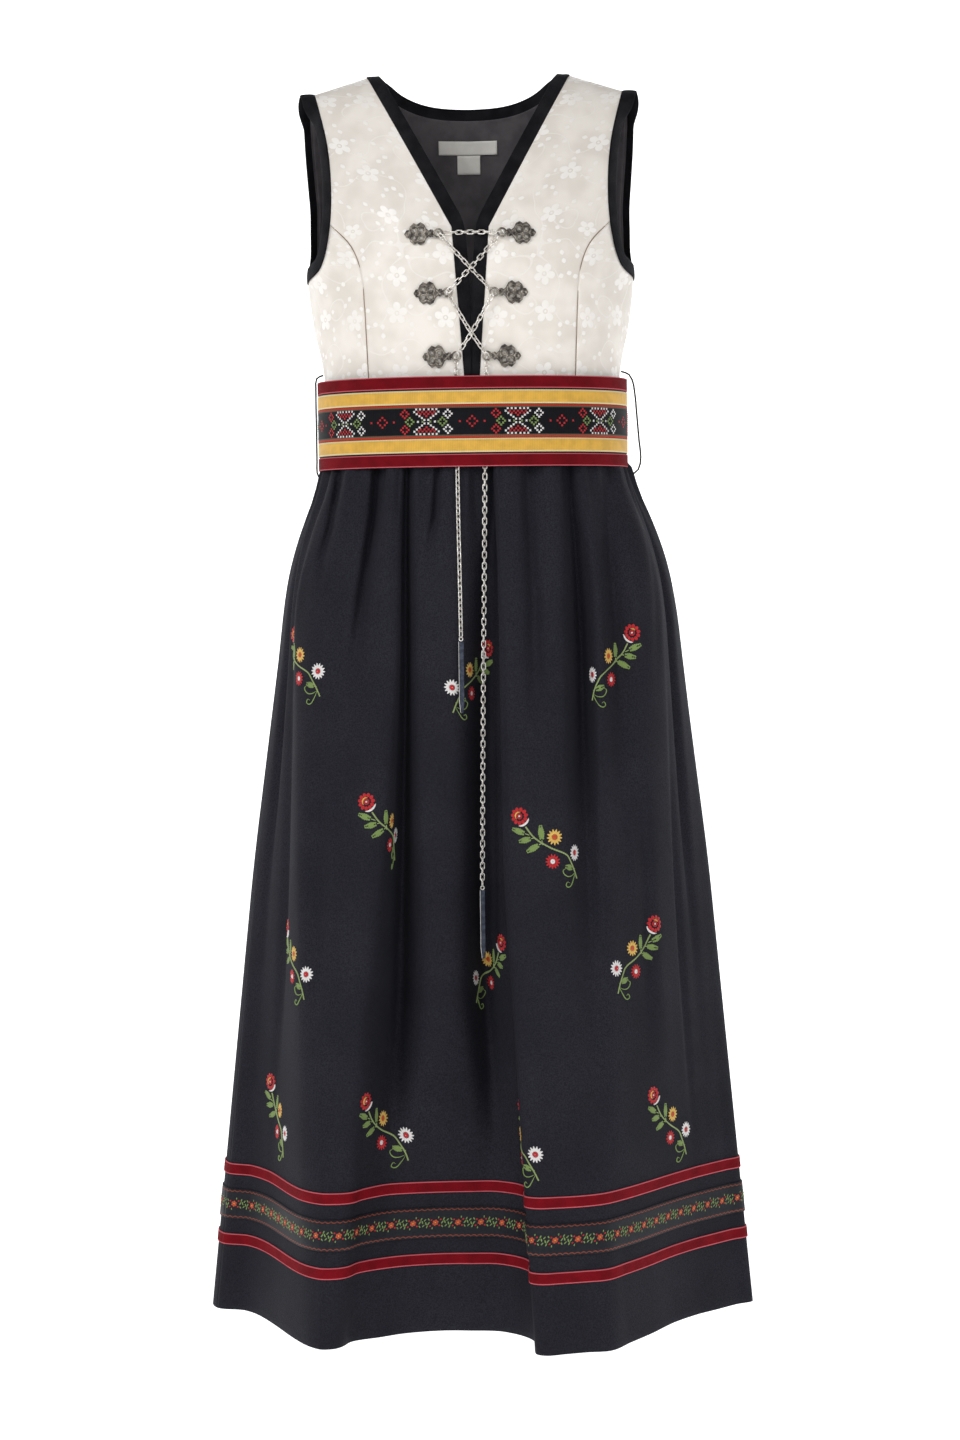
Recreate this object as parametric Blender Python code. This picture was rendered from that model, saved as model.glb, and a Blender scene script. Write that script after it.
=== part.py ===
"""Festive sleeveless folk dress, worn shape with nobody in it.

Cream brocade bodice, laced with a silver chain through six clasps, velvet
bindings, a woven belt and a gathered black wool skirt with hem ribbons.
Units are metres, +Z is up, the front faces -Y and the wearer's right side is
at -X. The origin lies midway between the two shoulder seams.
"""

import math
from bisect import bisect_right

import bmesh
import bpy
from mathutils import Vector

# Driving dimensions of the cloth
WALL = 0.0015
LINING = 0.0010
GAP = 0.0003
SEAM = 0.0004
MM = 0.001

# Heights of the seams and edges
NECK_Z = 0.0107
NECK_X = 0.0817
SHOULDER_FALL = 0.306
SHOULDER_FADE = 0.12
NECK_EDGE_X = 0.0925
NECK_BACK_Z = -0.0245
V_BOTTOM_Z = -0.1395
WAIST_Z = -0.3155
BELT_TOP_Z = -0.2720
BELT_BOTTOM_Z = -0.3525
HEM_Z = -1.1346

# Bindings of black velvet
NECK_BINDING = 0.0110
ARMHOLE_BINDING = 0.0120
BINDING_THICKNESS = 0.0018
BINDING_PROUD = 0.0004
BINDING_GAP = 0.0007
# Points in the middle of the openings that the bindings run round
NECK_MIDDLE = (0.0, -0.09, -0.05)
SHOULDER_MIDDLE = (0.0, 0.0, 0.0)
ARM_MIDDLE = (0.20, 0.0, -0.07)
V_GAP_HALF = 0.0052
V_CLOSED_Z = -0.1740
V_CLOSED_HALF = 0.0002

# Sections of the bodice: height, half-width
ROUNDNESS = 2.3
RIDGE_DROP = 0.03
BODY_WIDTH = (
    (-0.3155, 0.1330), (-0.2669, 0.1364), (-0.2465, 0.1398), (-0.2230, 0.1450),
    (-0.1970, 0.1485), (-0.1800, 0.1500), (-0.1500, 0.1525), (-0.1200, 0.1550),
    (-0.0800, 0.1585), (-0.0300, 0.1590), (0.0300, 0.1590),
)
# Drop below the shoulder seam, depth of the front, depth of the back
BODY_DEPTH = (
    (0.000, 0.0000, 0.0000), (0.004, 0.0140, 0.0140), (0.012, 0.0260, 0.0270),
    (0.030, 0.0430, 0.0450), (0.060, 0.0620, 0.0650), (0.100, 0.0830, 0.0820),
    (0.140, 0.0965, 0.0920), (0.180, 0.1020, 0.0955), (0.220, 0.1005, 0.0945),
    (0.260, 0.0958, 0.0900), (0.3155, 0.0910, 0.0850),
)
# Height, distance of the armhole seam from the middle in front and behind
ARMHOLE = (
    (-0.1800, 0.1500, 0.1500), (-0.1730, 0.1390, 0.1478), (-0.1650, 0.1340, 0.1458),
    (-0.1520, 0.1300, 0.1440), (-0.1320, 0.1268, 0.1435), (-0.1090, 0.1255, 0.1432),
    (-0.0820, 0.1265, 0.1449), (-0.0560, 0.1298, 0.1465), (-0.0300, 0.1358, 0.1470),
    (-0.0150, 0.1402, 0.1452), (-0.0079, 0.1425, 0.1425),
)
# Height and distance from the middle of the seam down the bust
BUST_SEAM = (
    (-0.3155, 0.0920), (-0.2720, 0.0932), (-0.2320, 0.0945), (-0.2060, 0.0956),
    (-0.1780, 0.0980), (-0.1530, 0.1075), (-0.1320, 0.1268),
)
# Height and distance from the middle of the cream cloth's front edge
FRONT_EDGE = ((-0.3155, 0.0055), (-0.2732, 0.0063), (-0.1395, 0.0154))

# Rows and columns of the bodice panels; the bust seam ends at an armhole station
PRINCESS_ROWS = 6
BACK_LOW_ROWS = 6
ARMHOLE_JOIN = 4
FRONT_COLUMNS = 8
FRONT_ROWS = PRINCESS_ROWS + len(ARMHOLE) - 1 - ARMHOLE_JOIN
SIDE_COLUMNS = ARMHOLE_JOIN
BACK_COLUMNS = 16
BACK_ROWS = BACK_LOW_ROWS + len(ARMHOLE) - 1
SHOULDER_COLUMNS = 3
CORNER_SHARE = 0.03
NECK_EASE = 1.5

# Skirt: four heights that the fold table gives
FOLD_HEIGHTS = (-0.3525, -0.4950, -0.7150, -0.9900)
WAIST_EASE = 1.8
GATHER_AT_SEAM = 0.967
UPPER_VELVET = (-0.9968, -1.0070)
WOVEN_RIBBON = (-1.0205, -1.0485)
LOWER_VELVET = (-1.0628, -1.0730)
RIBBON = 0.0010
SKIRT_ROWS = (
    WAIST_Z - GAP, BELT_BOTTOM_Z, -0.3800, -0.4300, -0.4950, -0.6000, -0.7150, -0.8550,
    *UPPER_VELVET, *WOVEN_RIBBON, *LOWER_VELVET, HEM_Z,
)
# Name, then x at the four heights, then how far forward it stands there, in mm
FRONT_FOLDS = (
    ("seam_left", -136, -178, -207, -236, 0, 0, 0, 0),
    ("side_left", -134, -172, -195, -214, 12, 28, 18, 14),
    ("side_trough_left", -126, -165, -177, -195, 38, 42, 50, 44),
    ("corner_left", -116, -161, -164, -165, 58, 66, 97, 118),
    ("lobe_left", -103, -138, -143, -146, 70, 88, 113, 140),
    ("tuck_2", -87, -111, -119, -130, 75, 88, 121, 143),
    ("ridge_2", -74, -85, -97, -117, 85, 103, 124, 139),
    ("edge_3", -65, -68, -82, -106, 88, 101, 115, 124),
    ("trough_3", -60, -63, -73, -87, 84, 86, 88, 106),
    ("ridge_4", -47, -51, -57, -67, 91, 101, 97, 101),
    ("panel_5", -25, -30, -33, -38, 92, 106, 103, 98),
    ("ridge_5", -8, -11, -11, -13, 91, 103, 98, 97),
    ("trough_5", 4, 5, 5, 13, 88, 91, 90, 98),
    ("under_6", 17, 23, 25, 37, 89, 90, 94, 120),
    ("edge_6", 17, 21, 22, 37, 95, 112, 132, 163),
    ("ridge_6", 26, 30, 33, 47, 95, 118, 142, 171),
    ("tuck_7", 47, 51, 50, 64, 88, 113, 148, 170),
    ("ridge_7", 69, 76, 76, 85, 85, 112, 146, 166),
    ("trough_8", 83, 94, 95, 106, 75, 88, 126, 156),
    ("ridge_8", 97, 110, 110, 123, 72, 105, 130, 140),
    ("tuck_9", 111, 124, 133, 145, 58, 88, 112, 113),
    ("ridge_9", 122, 148, 156, 167, 48, 94, 96, 84),
    ("corner_right", 131, 167, 176, 189, 31, 78, 68, 56),
    ("side_trough_right", 135, 175, 188, 205, 20, 50, 44, 37),
    ("side_right", 137, 183, 202, 224, 9, 32, 24, 17),
    ("seam_right", 138, 187, 214, 239, 0, 0, 0, 0),
)
# Depth of the back and height of its pleats at the four heights, in mm
BACK_REACH = (86, 112, 140, 160)
BACK_SWELL = (2.0, 7.0, 11.0, 13.0)
BACK_FULLNESS = 0.9
# Angle round the back from the right seam in degrees, and how far it swings out
BACK_FOLDS = (
    (11, -0.5), (23, 0.8), (35, -0.9), (50, 1.0), (60, -1.0), (76, 0.9), (86, -0.8),
    (99, 1.0), (110, -1.0), (123, 0.8), (134, -0.9), (147, 1.0), (159, -0.8), (170, 0.5),
)

# Columns of the skirt: so many for each stretch between two rows of a fold table
FRONT_STEPS = 2
BACK_STEPS = 3
FRONT_SKIRT_COLUMNS = (len(FRONT_FOLDS) - 1) * FRONT_STEPS
BACK_SKIRT_COLUMNS = (len(BACK_FOLDS) + 1) * BACK_STEPS

# Belt: its inner half-width and depths, and its stripes in mm from the top
BELT_HALF = 0.1397
BELT_FRONT = 0.0995
BELT_BACK = 0.0898
BELT_BAND = 0.0020
BELT_STRIPE = 0.0008
BELT_STEPS = 38
BELT_OVERLAP = 0.30
BELT_LIFT = 0.0038
BELT_LIFT_START = 0.45
BELT_LIFT_SPAN = 0.35
STRIPE_SPAN = 83.0
STRIPES = (
    ("belt_velvet_top", 0.0, 11.5, "belt_velvet"),
    ("belt_yellow_top", 13.0, 25.8, "belt_yellow"),
    ("belt_woven", 26.2, 56.8, "belt_weave"),
    ("belt_yellow_bottom", 57.2, 70.0, "belt_yellow"),
    ("belt_velvet_bottom", 71.5, 83.0, "belt_velvet"),
)

# Clasps: name, side, height of the ring and its distance from the middle
CLASPS = (
    ("clasp_top_left", -1, -0.1455, 0.0283), ("clasp_top_right", 1, -0.1455, 0.0283),
    ("clasp_middle_left", -1, -0.1985, 0.0207), ("clasp_middle_right", 1, -0.1985, 0.0207),
    ("clasp_bottom_left", -1, -0.2545, 0.0137), ("clasp_bottom_right", 1, -0.2545, 0.0137),
)
RING_OUTER = 4.5
RING_HOLE = 3.1
CLASP_PLATE = 1.2
CLASP_SEAT = 0.7
CLASP_RISE = 3.1
NECK_START = 4.2
NECK_END = 11.0
# Upper half of a clasp's outline beyond its ring: outwards and upwards, in mm
CLASP_OUTLINE = (
    (4.6, 1.8), (6.6, 3.6), (8.6, 2.6), (10.6, 4.4), (12.6, 8.6), (16.0, 10.4),
    (18.8, 8.4), (22.0, 9.8), (25.2, 6.6), (26.0, 3.4), (28.4, 3.4), (30.4, 0.0),
)
ROSETTE_X = 18.6
TEARDROP = ((2.4, 0.0), (4.6, 1.5), (6.9, 0.0), (4.6, -1.5))
TEARDROP_ANGLES = (48, 132, 228, 312)

# Chain: one length from needle to needle
CHAIN_DIAMETER = 0.0016
CHAIN_STEPS = 2
RING_OVER = 6.5
RING_UNDER = 2.3
RING_MIDDLE = 4.4
# Each point's x and height, and how far it stands off the bodice, all in mm
CHAIN_LACING = (
    (-14.2, -345.0, 5.0), (-14.4, -300.0, 3.8), (-14.2, -272.0, 3.2), (-13.8, -258.1, RING_UNDER),
    (-13.7, -254.5, RING_MIDDLE), (-11.7, -251.5, RING_OVER), (0.0, -234.3, RING_OVER),
    (18.9, -201.6, RING_OVER), (20.7, -198.5, RING_MIDDLE), (18.2, -195.9, RING_UNDER),
    (0.0, -177.0, 3.0), (-25.9, -148.2, RING_OVER), (-28.3, -145.5, RING_MIDDLE),
    (-24.7, -145.3, RING_UNDER), (0.0, -145.0, 3.8), (24.7, -145.6, RING_OVER),
    (28.3, -145.5, RING_MIDDLE), (25.9, -148.2, RING_UNDER), (0.0, -177.0, 5.8),
    (-18.2, -195.9, RING_OVER), (-20.7, -198.5, RING_MIDDLE), (-18.9, -201.6, RING_UNDER),
    (0.0, -234.3, 3.6), (11.7, -251.5, RING_OVER), (13.7, -254.5, RING_MIDDLE),
    (13.8, -258.1, RING_UNDER), (12.6, -272.0, 3.2), (11.4, -300.0, 3.8), (10.6, -345.0, 5.0),
)
# Free ends below the belt: x, y and height in mm, from the needle upwards
CHAIN_LEFT_END = ((-13.0, -107.1, -503.8), (-13.4, -105.3, -450.0), (-14.0, -99.9, -395.0))
CHAIN_RIGHT_END = ((9.0, -97.4, -430.0), (6.2, -97.6, -560.0), (3.2, -97.6, -728.2))
# Needles: name, x, y, top and bottom in mm
NEEDLES = (("needle_left", -13.0, -107.3, -504.2, -572.4), ("needle_right", 3.2, -97.6, -728.6, -794.8))
NEEDLE_TOP = 0.0048
NEEDLE_TIP = 0.0022
NEEDLE_SIDES = 8

# Cords at the side seams that hold the belt: x and height in mm
LOOP_DIAMETER = 0.0016
LOOP_RIGHT = (
    (137.5, -264.0), (145.0, -267.0), (149.2, -277.0), (151.6, -302.0), (153.6, -328.0),
    (155.0, -343.0), (152.6, -354.5), (144.3, -360.5),
)
LOOP_LEFT = (
    (-137.5, -264.0), (-143.6, -267.0), (-144.6, -276.0), (-144.6, -310.0), (-144.6, -344.0),
    (-144.6, -354.0), (-141.7, -359.5),
)

# Labels inside the back: name, middle, half-width, top and bottom
LABELS = (
    ("neck_label", -0.0012, 0.0282, -0.0431, -0.0555),
    ("size_label", -0.0005, 0.0110, -0.0559, -0.0731),
)
LABEL = 0.0010
LABEL_REST = 0.0009
LABEL_COLUMNS = 4

FRONT = -1
BACK = 1
QUARTER = math.pi / 2

# Name, colour, roughness and metallic value
FINISHES = {
    "brocade": ((0.80, 0.77, 0.70), 0.45, 0.0),
    "velvet": ((0.010, 0.009, 0.011), 0.9, 0.0),
    "lining": ((0.018, 0.016, 0.019), 0.7, 0.0),
    "wool": ((0.011, 0.012, 0.017), 0.85, 0.0),
    "ribbon_velvet": ((0.24, 0.008, 0.018), 0.8, 0.0),
    "woven_ribbon": ((0.03, 0.02, 0.02), 0.75, 0.0),
    "belt_web": ((0.02, 0.018, 0.02), 0.8, 0.0),
    "belt_velvet": ((0.22, 0.007, 0.016), 0.8, 0.0),
    "belt_yellow": ((0.72, 0.42, 0.07), 0.7, 0.0),
    "belt_weave": ((0.03, 0.022, 0.02), 0.75, 0.0),
    "silver_dark": ((0.16, 0.15, 0.14), 0.4, 1.0),
    "silver": ((0.62, 0.62, 0.60), 0.28, 1.0),
    "cord": ((0.012, 0.011, 0.012), 0.7, 0.0),
    "label": ((0.34, 0.33, 0.31), 0.7, 0.0),
}


def clear_scene():
    for thing in list(bpy.data.objects):
        bpy.data.objects.remove(thing, do_unlink=True)


def clamp(value, low=0.0, high=1.0):
    return max(low, min(high, value))


def smooth_step(value):
    share = clamp(value)
    return share * share * (3 - 2 * share)


def smooth_through(value, stops, levels):
    """Value on a smooth curve through the levels of a table."""
    last = len(stops) - 1

    def slope(index):
        before, after = max(index - 1, 0), min(index + 1, last)
        return (levels[after] - levels[before]) / (stops[after] - stops[before])

    start = int(clamp(bisect_right(stops, value) - 1, 0, last - 1))
    width = stops[start + 1] - stops[start]
    share = clamp((value - stops[start]) / width)
    return bend(levels[start], width * slope(start), levels[start + 1], width * slope(start + 1), share)


def bend(start, leave, end, arrive, share):
    """Point on a curve that leaves one point and arrives at another."""
    square, cube = share ** 2, share ** 3
    return ((2 * cube - 3 * square + 1) * start + (cube - 2 * square + share) * leave
            + (3 * square - 2 * cube) * end + (cube - square) * arrive)


def column(table, index):
    return [row[index] for row in table]


def finish(name):
    """The material of that finish, made on its first use."""
    found = bpy.data.materials.get(name)
    if found:
        return found
    colour, roughness, metallic = FINISHES[name]
    made = bpy.data.materials.new(name)
    made.use_nodes = True
    shader = made.node_tree.nodes["Principled BSDF"]
    shader.inputs["Base Color"].default_value = (*colour, 1.0)
    shader.inputs["Roughness"].default_value = roughness
    shader.inputs["Metallic"].default_value = metallic
    made.diffuse_color = (*colour, 1.0)
    return made


def keep(bm, name, finish_name, collection):
    """Turn a closed bmesh into a named object of the dress."""
    bmesh.ops.recalc_face_normals(bm, faces=bm.faces[:])
    if bm.calc_volume(signed=True) < 0:
        bmesh.ops.reverse_faces(bm, faces=bm.faces[:])
    mesh = bpy.data.meshes.new(name)
    bm.to_mesh(mesh)
    bm.free()
    mesh.materials.append(finish(finish_name))
    mesh.shade_smooth()
    mesh.set_sharp_from_angle(angle=math.radians(50))
    thing = bpy.data.objects.new(name, mesh)
    collection.objects.link(thing)
    return thing


def wall(name, finish_name, columns, rows, outer, inner, collection):
    """Closed wall between two surfaces that are given over columns and rows."""
    bm = bmesh.new()
    bmesh.ops.create_grid(bm, x_segments=columns, y_segments=rows, size=0.5)
    outside = bm.verts[:]
    thick = bmesh.ops.extrude_face_region(bm, geom=bm.faces[:])
    inside = [item for item in thick["geom"] if isinstance(item, bmesh.types.BMVert)]
    for vertices, surface in ((outside, outer), (inside, inner)):
        for vertex in vertices:
            across = round((vertex.co.x + 0.5) * columns)
            along = round((vertex.co.y + 0.5) * rows)
            vertex.co = surface(across, along)
    return keep(bm, name, finish_name, collection)


def tube(name, finish_name, points, diameter, collection):
    """Round cord along points, with closed ends."""
    curve = bpy.data.curves.new(name, "CURVE")
    curve.dimensions = "3D"
    curve.bevel_depth = diameter / 2
    curve.bevel_resolution = 2
    curve.use_fill_caps = True
    spline = curve.splines.new("POLY")
    spline.points.add(len(points) - 1)
    for target, point in zip(spline.points, points):
        target.co = (*point, 1.0)
    curve.materials.append(finish(finish_name))
    thing = bpy.data.objects.new(name, curve)
    collection.objects.link(thing)
    return thing


def smooth_route(points, steps):
    """Points on a smooth curve through a route's own points, that many to each stretch."""
    points = [Vector(point) for point in points]
    fine = []
    for index in range(len(points) - 1):
        before = points[max(index - 1, 0)]
        start, end = points[index], points[index + 1]
        after = points[min(index + 2, len(points) - 1)]
        span = (end - start).length
        leave = (end - before).normalized() * span
        arrive = (after - start).normalized() * span
        fine += [bend(start, leave, end, arrive, step / steps) for step in range(steps)]
    return fine + [points[-1]]


def body_half(z):
    return smooth_through(z, column(BODY_WIDTH, 0), column(BODY_WIDTH, 1))


def drop_below_shoulder(x, z):
    """How far a point lies below the shoulder seam, which slopes outwards."""
    seam = NECK_Z - (abs(x) - NECK_X) * SHOULDER_FALL
    return seam * (1 - smooth_step(-z / SHOULDER_FADE)) - z


def body_angle(x, z):
    """Angle round the body's section, 0 in the middle and a quarter turn at the side."""
    share = clamp(abs(x) / body_half(z)) ** (ROUNDNESS / 2)
    return math.copysign(math.asin(share), x)


def body_point(face, angle, z, inset=0.0):
    """Point of the bodice, moved in from its outer surface."""
    power = 2 / ROUNDNESS
    sine, cosine = abs(math.sin(angle)) ** power, abs(math.cos(angle)) ** power
    x = math.copysign(body_half(z) * sine, angle)
    drop = max(drop_below_shoulder(x, z), 0.0)
    depth = smooth_through(drop, column(BODY_DEPTH, 0), column(BODY_DEPTH, 1 if face == FRONT else 2))
    ridge = 1 - smooth_step(drop / RIDGE_DROP)
    return Vector((
        math.copysign((body_half(z) - inset * (1 - ridge)) * sine, angle),
        face * (SEAM / 2 + max(depth - inset, 0.0) * cosine),
        z - inset * ridge,
    ))


def front_point(x, z, lift):
    """Point in front of the bodice, that far off its cloth."""
    point = body_point(FRONT, body_angle(x, z), z)
    return point + Vector((0.0, -lift, 0.0))


def patch(low, high, left, right, columns, rows):
    """Angle and height over a panel that four edges bound."""
    def at(across, along):
        u, v = across / columns, along / rows
        edges = [(1 - v) * a + v * b + (1 - u) * c + u * d
                 for a, b, c, d in zip(low(across), high(across), left(along), right(along))]
        corners = [(1 - u) * (1 - v) * a + u * (1 - v) * b + (1 - u) * v * c + u * v * d
                   for a, b, c, d in zip(low(0), low(columns), high(0), high(columns))]
        return edges[0] - corners[0], edges[1] - corners[1]
    return at


def panel(name, finish_name, face, shape, columns, rows, insets, collection):
    """Panel of the bodice between two insets."""
    outer_inset, inner_inset = insets
    return wall(
        name, finish_name, columns, rows,
        lambda across, along: body_point(face, *shape(across, along), outer_inset),
        lambda across, along: body_point(face, *shape(across, along), inner_inset),
        collection)


def armhole_station(index, face, side):
    """Angle and height of a station on the armhole seam, from the underarm up."""
    z, front_x, back_x = ARMHOLE[index]
    if index == 0:
        return side * QUARTER, z
    return body_angle(side * (front_x if face == FRONT else back_x), z), z


def bust_seam(row, side):
    z = WAIST_Z + (BUST_SEAM[-1][0] - WAIST_Z) * row / PRINCESS_ROWS
    x = smooth_through(z, column(BUST_SEAM, 0), column(BUST_SEAM, 1))
    shift = side * SEAM / 2
    return x * side, z, shift


def front_edge(row, side):
    """Cream cloth's edge up the middle and along the neck, by panel rows."""
    if row <= PRINCESS_ROWS:
        z = WAIST_Z + (V_BOTTOM_Z - WAIST_Z) * row / PRINCESS_ROWS
        x = smooth_through(z, column(FRONT_EDGE, 0), column(FRONT_EDGE, 1))
    else:
        share = 1 - (1 - (row - PRINCESS_ROWS) / (FRONT_ROWS - PRINCESS_ROWS)) ** NECK_EASE
        top_z = NECK_Z - (NECK_EDGE_X - NECK_X) * SHOULDER_FALL
        x = FRONT_EDGE[-1][1] + (NECK_EDGE_X - FRONT_EDGE[-1][1]) * share
        z = V_BOTTOM_Z + (top_z - V_BOTTOM_Z) * share
    return body_angle(side * x, z), z


def shoulder_seam(share, side):
    """Angle and height on the shoulder seam, from the neck to its tip."""
    x = NECK_EDGE_X + (ARMHOLE[-1][1] - NECK_EDGE_X) * share
    z = NECK_Z - (x - NECK_X) * SHOULDER_FALL
    return body_angle(side * x, z), z


def front_shape(side):
    """Front panel between the middle edge, bust seam, armhole and shoulder."""
    def outer_edge(along):
        if along < PRINCESS_ROWS:
            x, z, shift = bust_seam(along, side)
            return body_angle(x - shift, z), z
        return armhole_station(along - PRINCESS_ROWS + ARMHOLE_JOIN, FRONT, side)

    def waist(across):
        start, end = front_edge(0, side)[0], outer_edge(0)[0]
        return start + (end - start) * across / FRONT_COLUMNS, WAIST_Z

    return patch(waist, lambda across: shoulder_seam(across / FRONT_COLUMNS, side),
                 lambda along: front_edge(along, side), outer_edge, FRONT_COLUMNS, FRONT_ROWS)


def side_shape(side):
    """Side panel between the bust seam, the side seam and the underarm."""
    underarm = ARMHOLE[0][0]

    def bust(along):
        if along == PRINCESS_ROWS:
            return armhole(0)
        x, z, shift = bust_seam(along, side)
        return body_angle(x + shift, z), z

    def armhole(across):
        angle, z = armhole_station(ARMHOLE_JOIN - across, FRONT, side)
        if across == 0:
            next_angle, next_z = armhole_station(ARMHOLE_JOIN - 1, FRONT, side)
            return angle + (next_angle - angle) * CORNER_SHARE, z + (next_z - z) * CORNER_SHARE
        return angle, z

    def side_seam(along):
        return side * QUARTER, WAIST_Z + (underarm - WAIST_Z) * along / PRINCESS_ROWS

    def waist(across):
        start = bust(0)[0]
        return start + (side * QUARTER - start) * across / SIDE_COLUMNS, WAIST_Z

    return patch(waist, armhole, bust, side_seam, SIDE_COLUMNS, PRINCESS_ROWS)


def neck_back(share):
    """Angle and height along the back of the neck, -1 to 1 across it."""
    share = math.copysign(1 - (1 - abs(share)) ** NECK_EASE, share)
    x = NECK_EDGE_X * share
    top = NECK_Z - (NECK_EDGE_X - NECK_X) * SHOULDER_FALL
    z = NECK_BACK_Z + (top - NECK_BACK_Z) * abs(share) ** 3
    return body_angle(x, z), z


def back_shape():
    """Whole back between the side seams, armholes, shoulders and neck."""
    def side(edge):
        def at(along):
            if along < BACK_LOW_ROWS:
                return edge * QUARTER, WAIST_Z + (ARMHOLE[0][0] - WAIST_Z) * along / BACK_LOW_ROWS
            return armhole_station(along - BACK_LOW_ROWS, BACK, edge)
        return at

    def top(across):
        if across <= SHOULDER_COLUMNS:
            return shoulder_seam(1 - across / SHOULDER_COLUMNS, -1)
        if across >= BACK_COLUMNS - SHOULDER_COLUMNS:
            return shoulder_seam(1 - (BACK_COLUMNS - across) / SHOULDER_COLUMNS, 1)
        half = BACK_COLUMNS / 2
        return neck_back((across - half) / (half - SHOULDER_COLUMNS))

    def waist(across):
        return (2 * across / BACK_COLUMNS - 1) * QUARTER, WAIST_Z

    return patch(waist, top, side(-1), side(1), BACK_COLUMNS, BACK_ROWS)


def binding(name, stations, widths, ends, towards, collection):
    """Velvet strip that carries a panel's edge on towards the open side.

    stations are (face, angle, height) along the edge, ends the directions in
    which the strip starts and ends, and towards a point on its open side.
    At a shoulder or side seam the strip runs straight from front to back.
    """
    points = [body_point(*station) for station in stations]
    inward = [body_point(*station, 0.001) for station in stations]
    normals = [(point - inner).normalized() for point, inner in zip(points, inward)]
    last = len(points) - 1
    across = []
    for index, point in enumerate(points):
        along = points[min(index + 1, last)] - points[max(index - 1, 0)]
        if abs(point.y) < WALL:
            along = Vector((0.0, 1.0, 0.0))
        if index == 0:
            along = Vector(ends[0])
        if index == last:
            along = Vector(ends[1])
        direction = along.cross(normals[index]).normalized()
        if direction.dot(Vector(towards) - point) < 0:
            direction.negate()
        across.append(direction)

    def surface(rise):
        def at(station, edge):
            reach = BINDING_GAP + edge * (widths[station] - BINDING_GAP)
            return points[station] + across[station] * reach + normals[station] * rise
        return at

    return wall(name, "velvet", last, 1, surface(BINDING_PROUD),
                surface(BINDING_PROUD - BINDING_THICKNESS), collection)


def build_bodice(collection):
    cloth = (0.0, WALL)
    for side, label in ((-1, "left"), (1, "right")):
        panel(f"bodice_front_{label}", "brocade", FRONT, front_shape(side),
              FRONT_COLUMNS, FRONT_ROWS, cloth, collection)
        panel(f"bodice_side_{label}", "brocade", FRONT, side_shape(side),
              SIDE_COLUMNS, PRINCESS_ROWS, cloth, collection)
    panel("bodice_back", "brocade", BACK, back_shape(), BACK_COLUMNS, BACK_ROWS, cloth, collection)
    inside = (WALL + GAP, WALL + GAP + LINING)
    panel("back_lining", "lining", BACK, back_shape(), BACK_COLUMNS, BACK_ROWS, inside, collection)


def front_binding_widths(side):
    """Width of the strip at each row: full on the neck, less down the middle."""
    widths = []
    for row in range(FRONT_ROWS + 1):
        angle, z = front_edge(row, side)
        x = abs(body_point(FRONT, angle, z).x)
        if row > PRINCESS_ROWS:
            widths.append(NECK_BINDING)
            continue
        open_half = V_GAP_HALF * clamp((z - V_CLOSED_Z) / (V_BOTTOM_Z - V_CLOSED_Z))
        widths.append(x - max(open_half, V_CLOSED_HALF))
    return widths


def build_bindings(collection):
    last = len(ARMHOLE) - 1
    for side, label in ((-1, "left"), (1, "right")):
        edge = [(FRONT, *front_edge(row, side)) for row in range(FRONT_ROWS + 1)]
        binding(f"front_binding_{label}", edge, front_binding_widths(side),
                ((0, 0, 1), (0, 1, 0)), NECK_MIDDLE, collection)
        ring = [(FRONT, *armhole_station(index, FRONT, side)) for index in range(last + 1)]
        ring += [(BACK, *armhole_station(index, BACK, side)) for index in range(last, -1, -1)]
        binding(f"armhole_binding_{label}", ring, [ARMHOLE_BINDING] * len(ring),
                ((0, -1, 0), (0, -1, 0)), (side * ARM_MIDDLE[0], *ARM_MIDDLE[1:]), collection)
    steps = BACK_COLUMNS - 2 * SHOULDER_COLUMNS
    neck = [(BACK, *neck_back(2 * step / steps - 1)) for step in range(steps + 1)]
    binding("back_neck_binding", neck, [NECK_BINDING] * len(neck),
            ((0, 1, 0), (0, 1, 0)), SHOULDER_MIDDLE, collection)


def fold_share(z):
    """Which two of the fold table's heights a height lies between, and how far."""
    tops = FOLD_HEIGHTS
    if z >= tops[1]:
        return 0, 1 - (1 - clamp((tops[0] - z) / (tops[0] - tops[1]))) ** WAIST_EASE
    start = 1 if z >= tops[2] else 2
    return start, (tops[start] - z) / (tops[start] - tops[start + 1])


def fold_corners(z):
    """Contour of the skirt at a height, clockwise from the left seam over the front."""
    start, share = fold_share(z)

    def at(values):
        return (values[start] + (values[start + 1] - values[start]) * share) * MM

    front = [Vector((at(row[1:5]), -at(row[5:9]))) for row in FRONT_FOLDS]
    half = (front[-1].x - front[0].x) / 2
    middle = (front[-1].x + front[0].x) / 2
    reach, swell = at(BACK_REACH), at(BACK_SWELL)
    back = []
    for degrees, swing in BACK_FOLDS:
        angle = math.radians(degrees)
        out = swing * swell
        back.append(Vector((middle + (half + out) * math.cos(angle),
                            (reach + out) * math.sin(angle) ** BACK_FULLNESS)))
    return front + back


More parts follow.
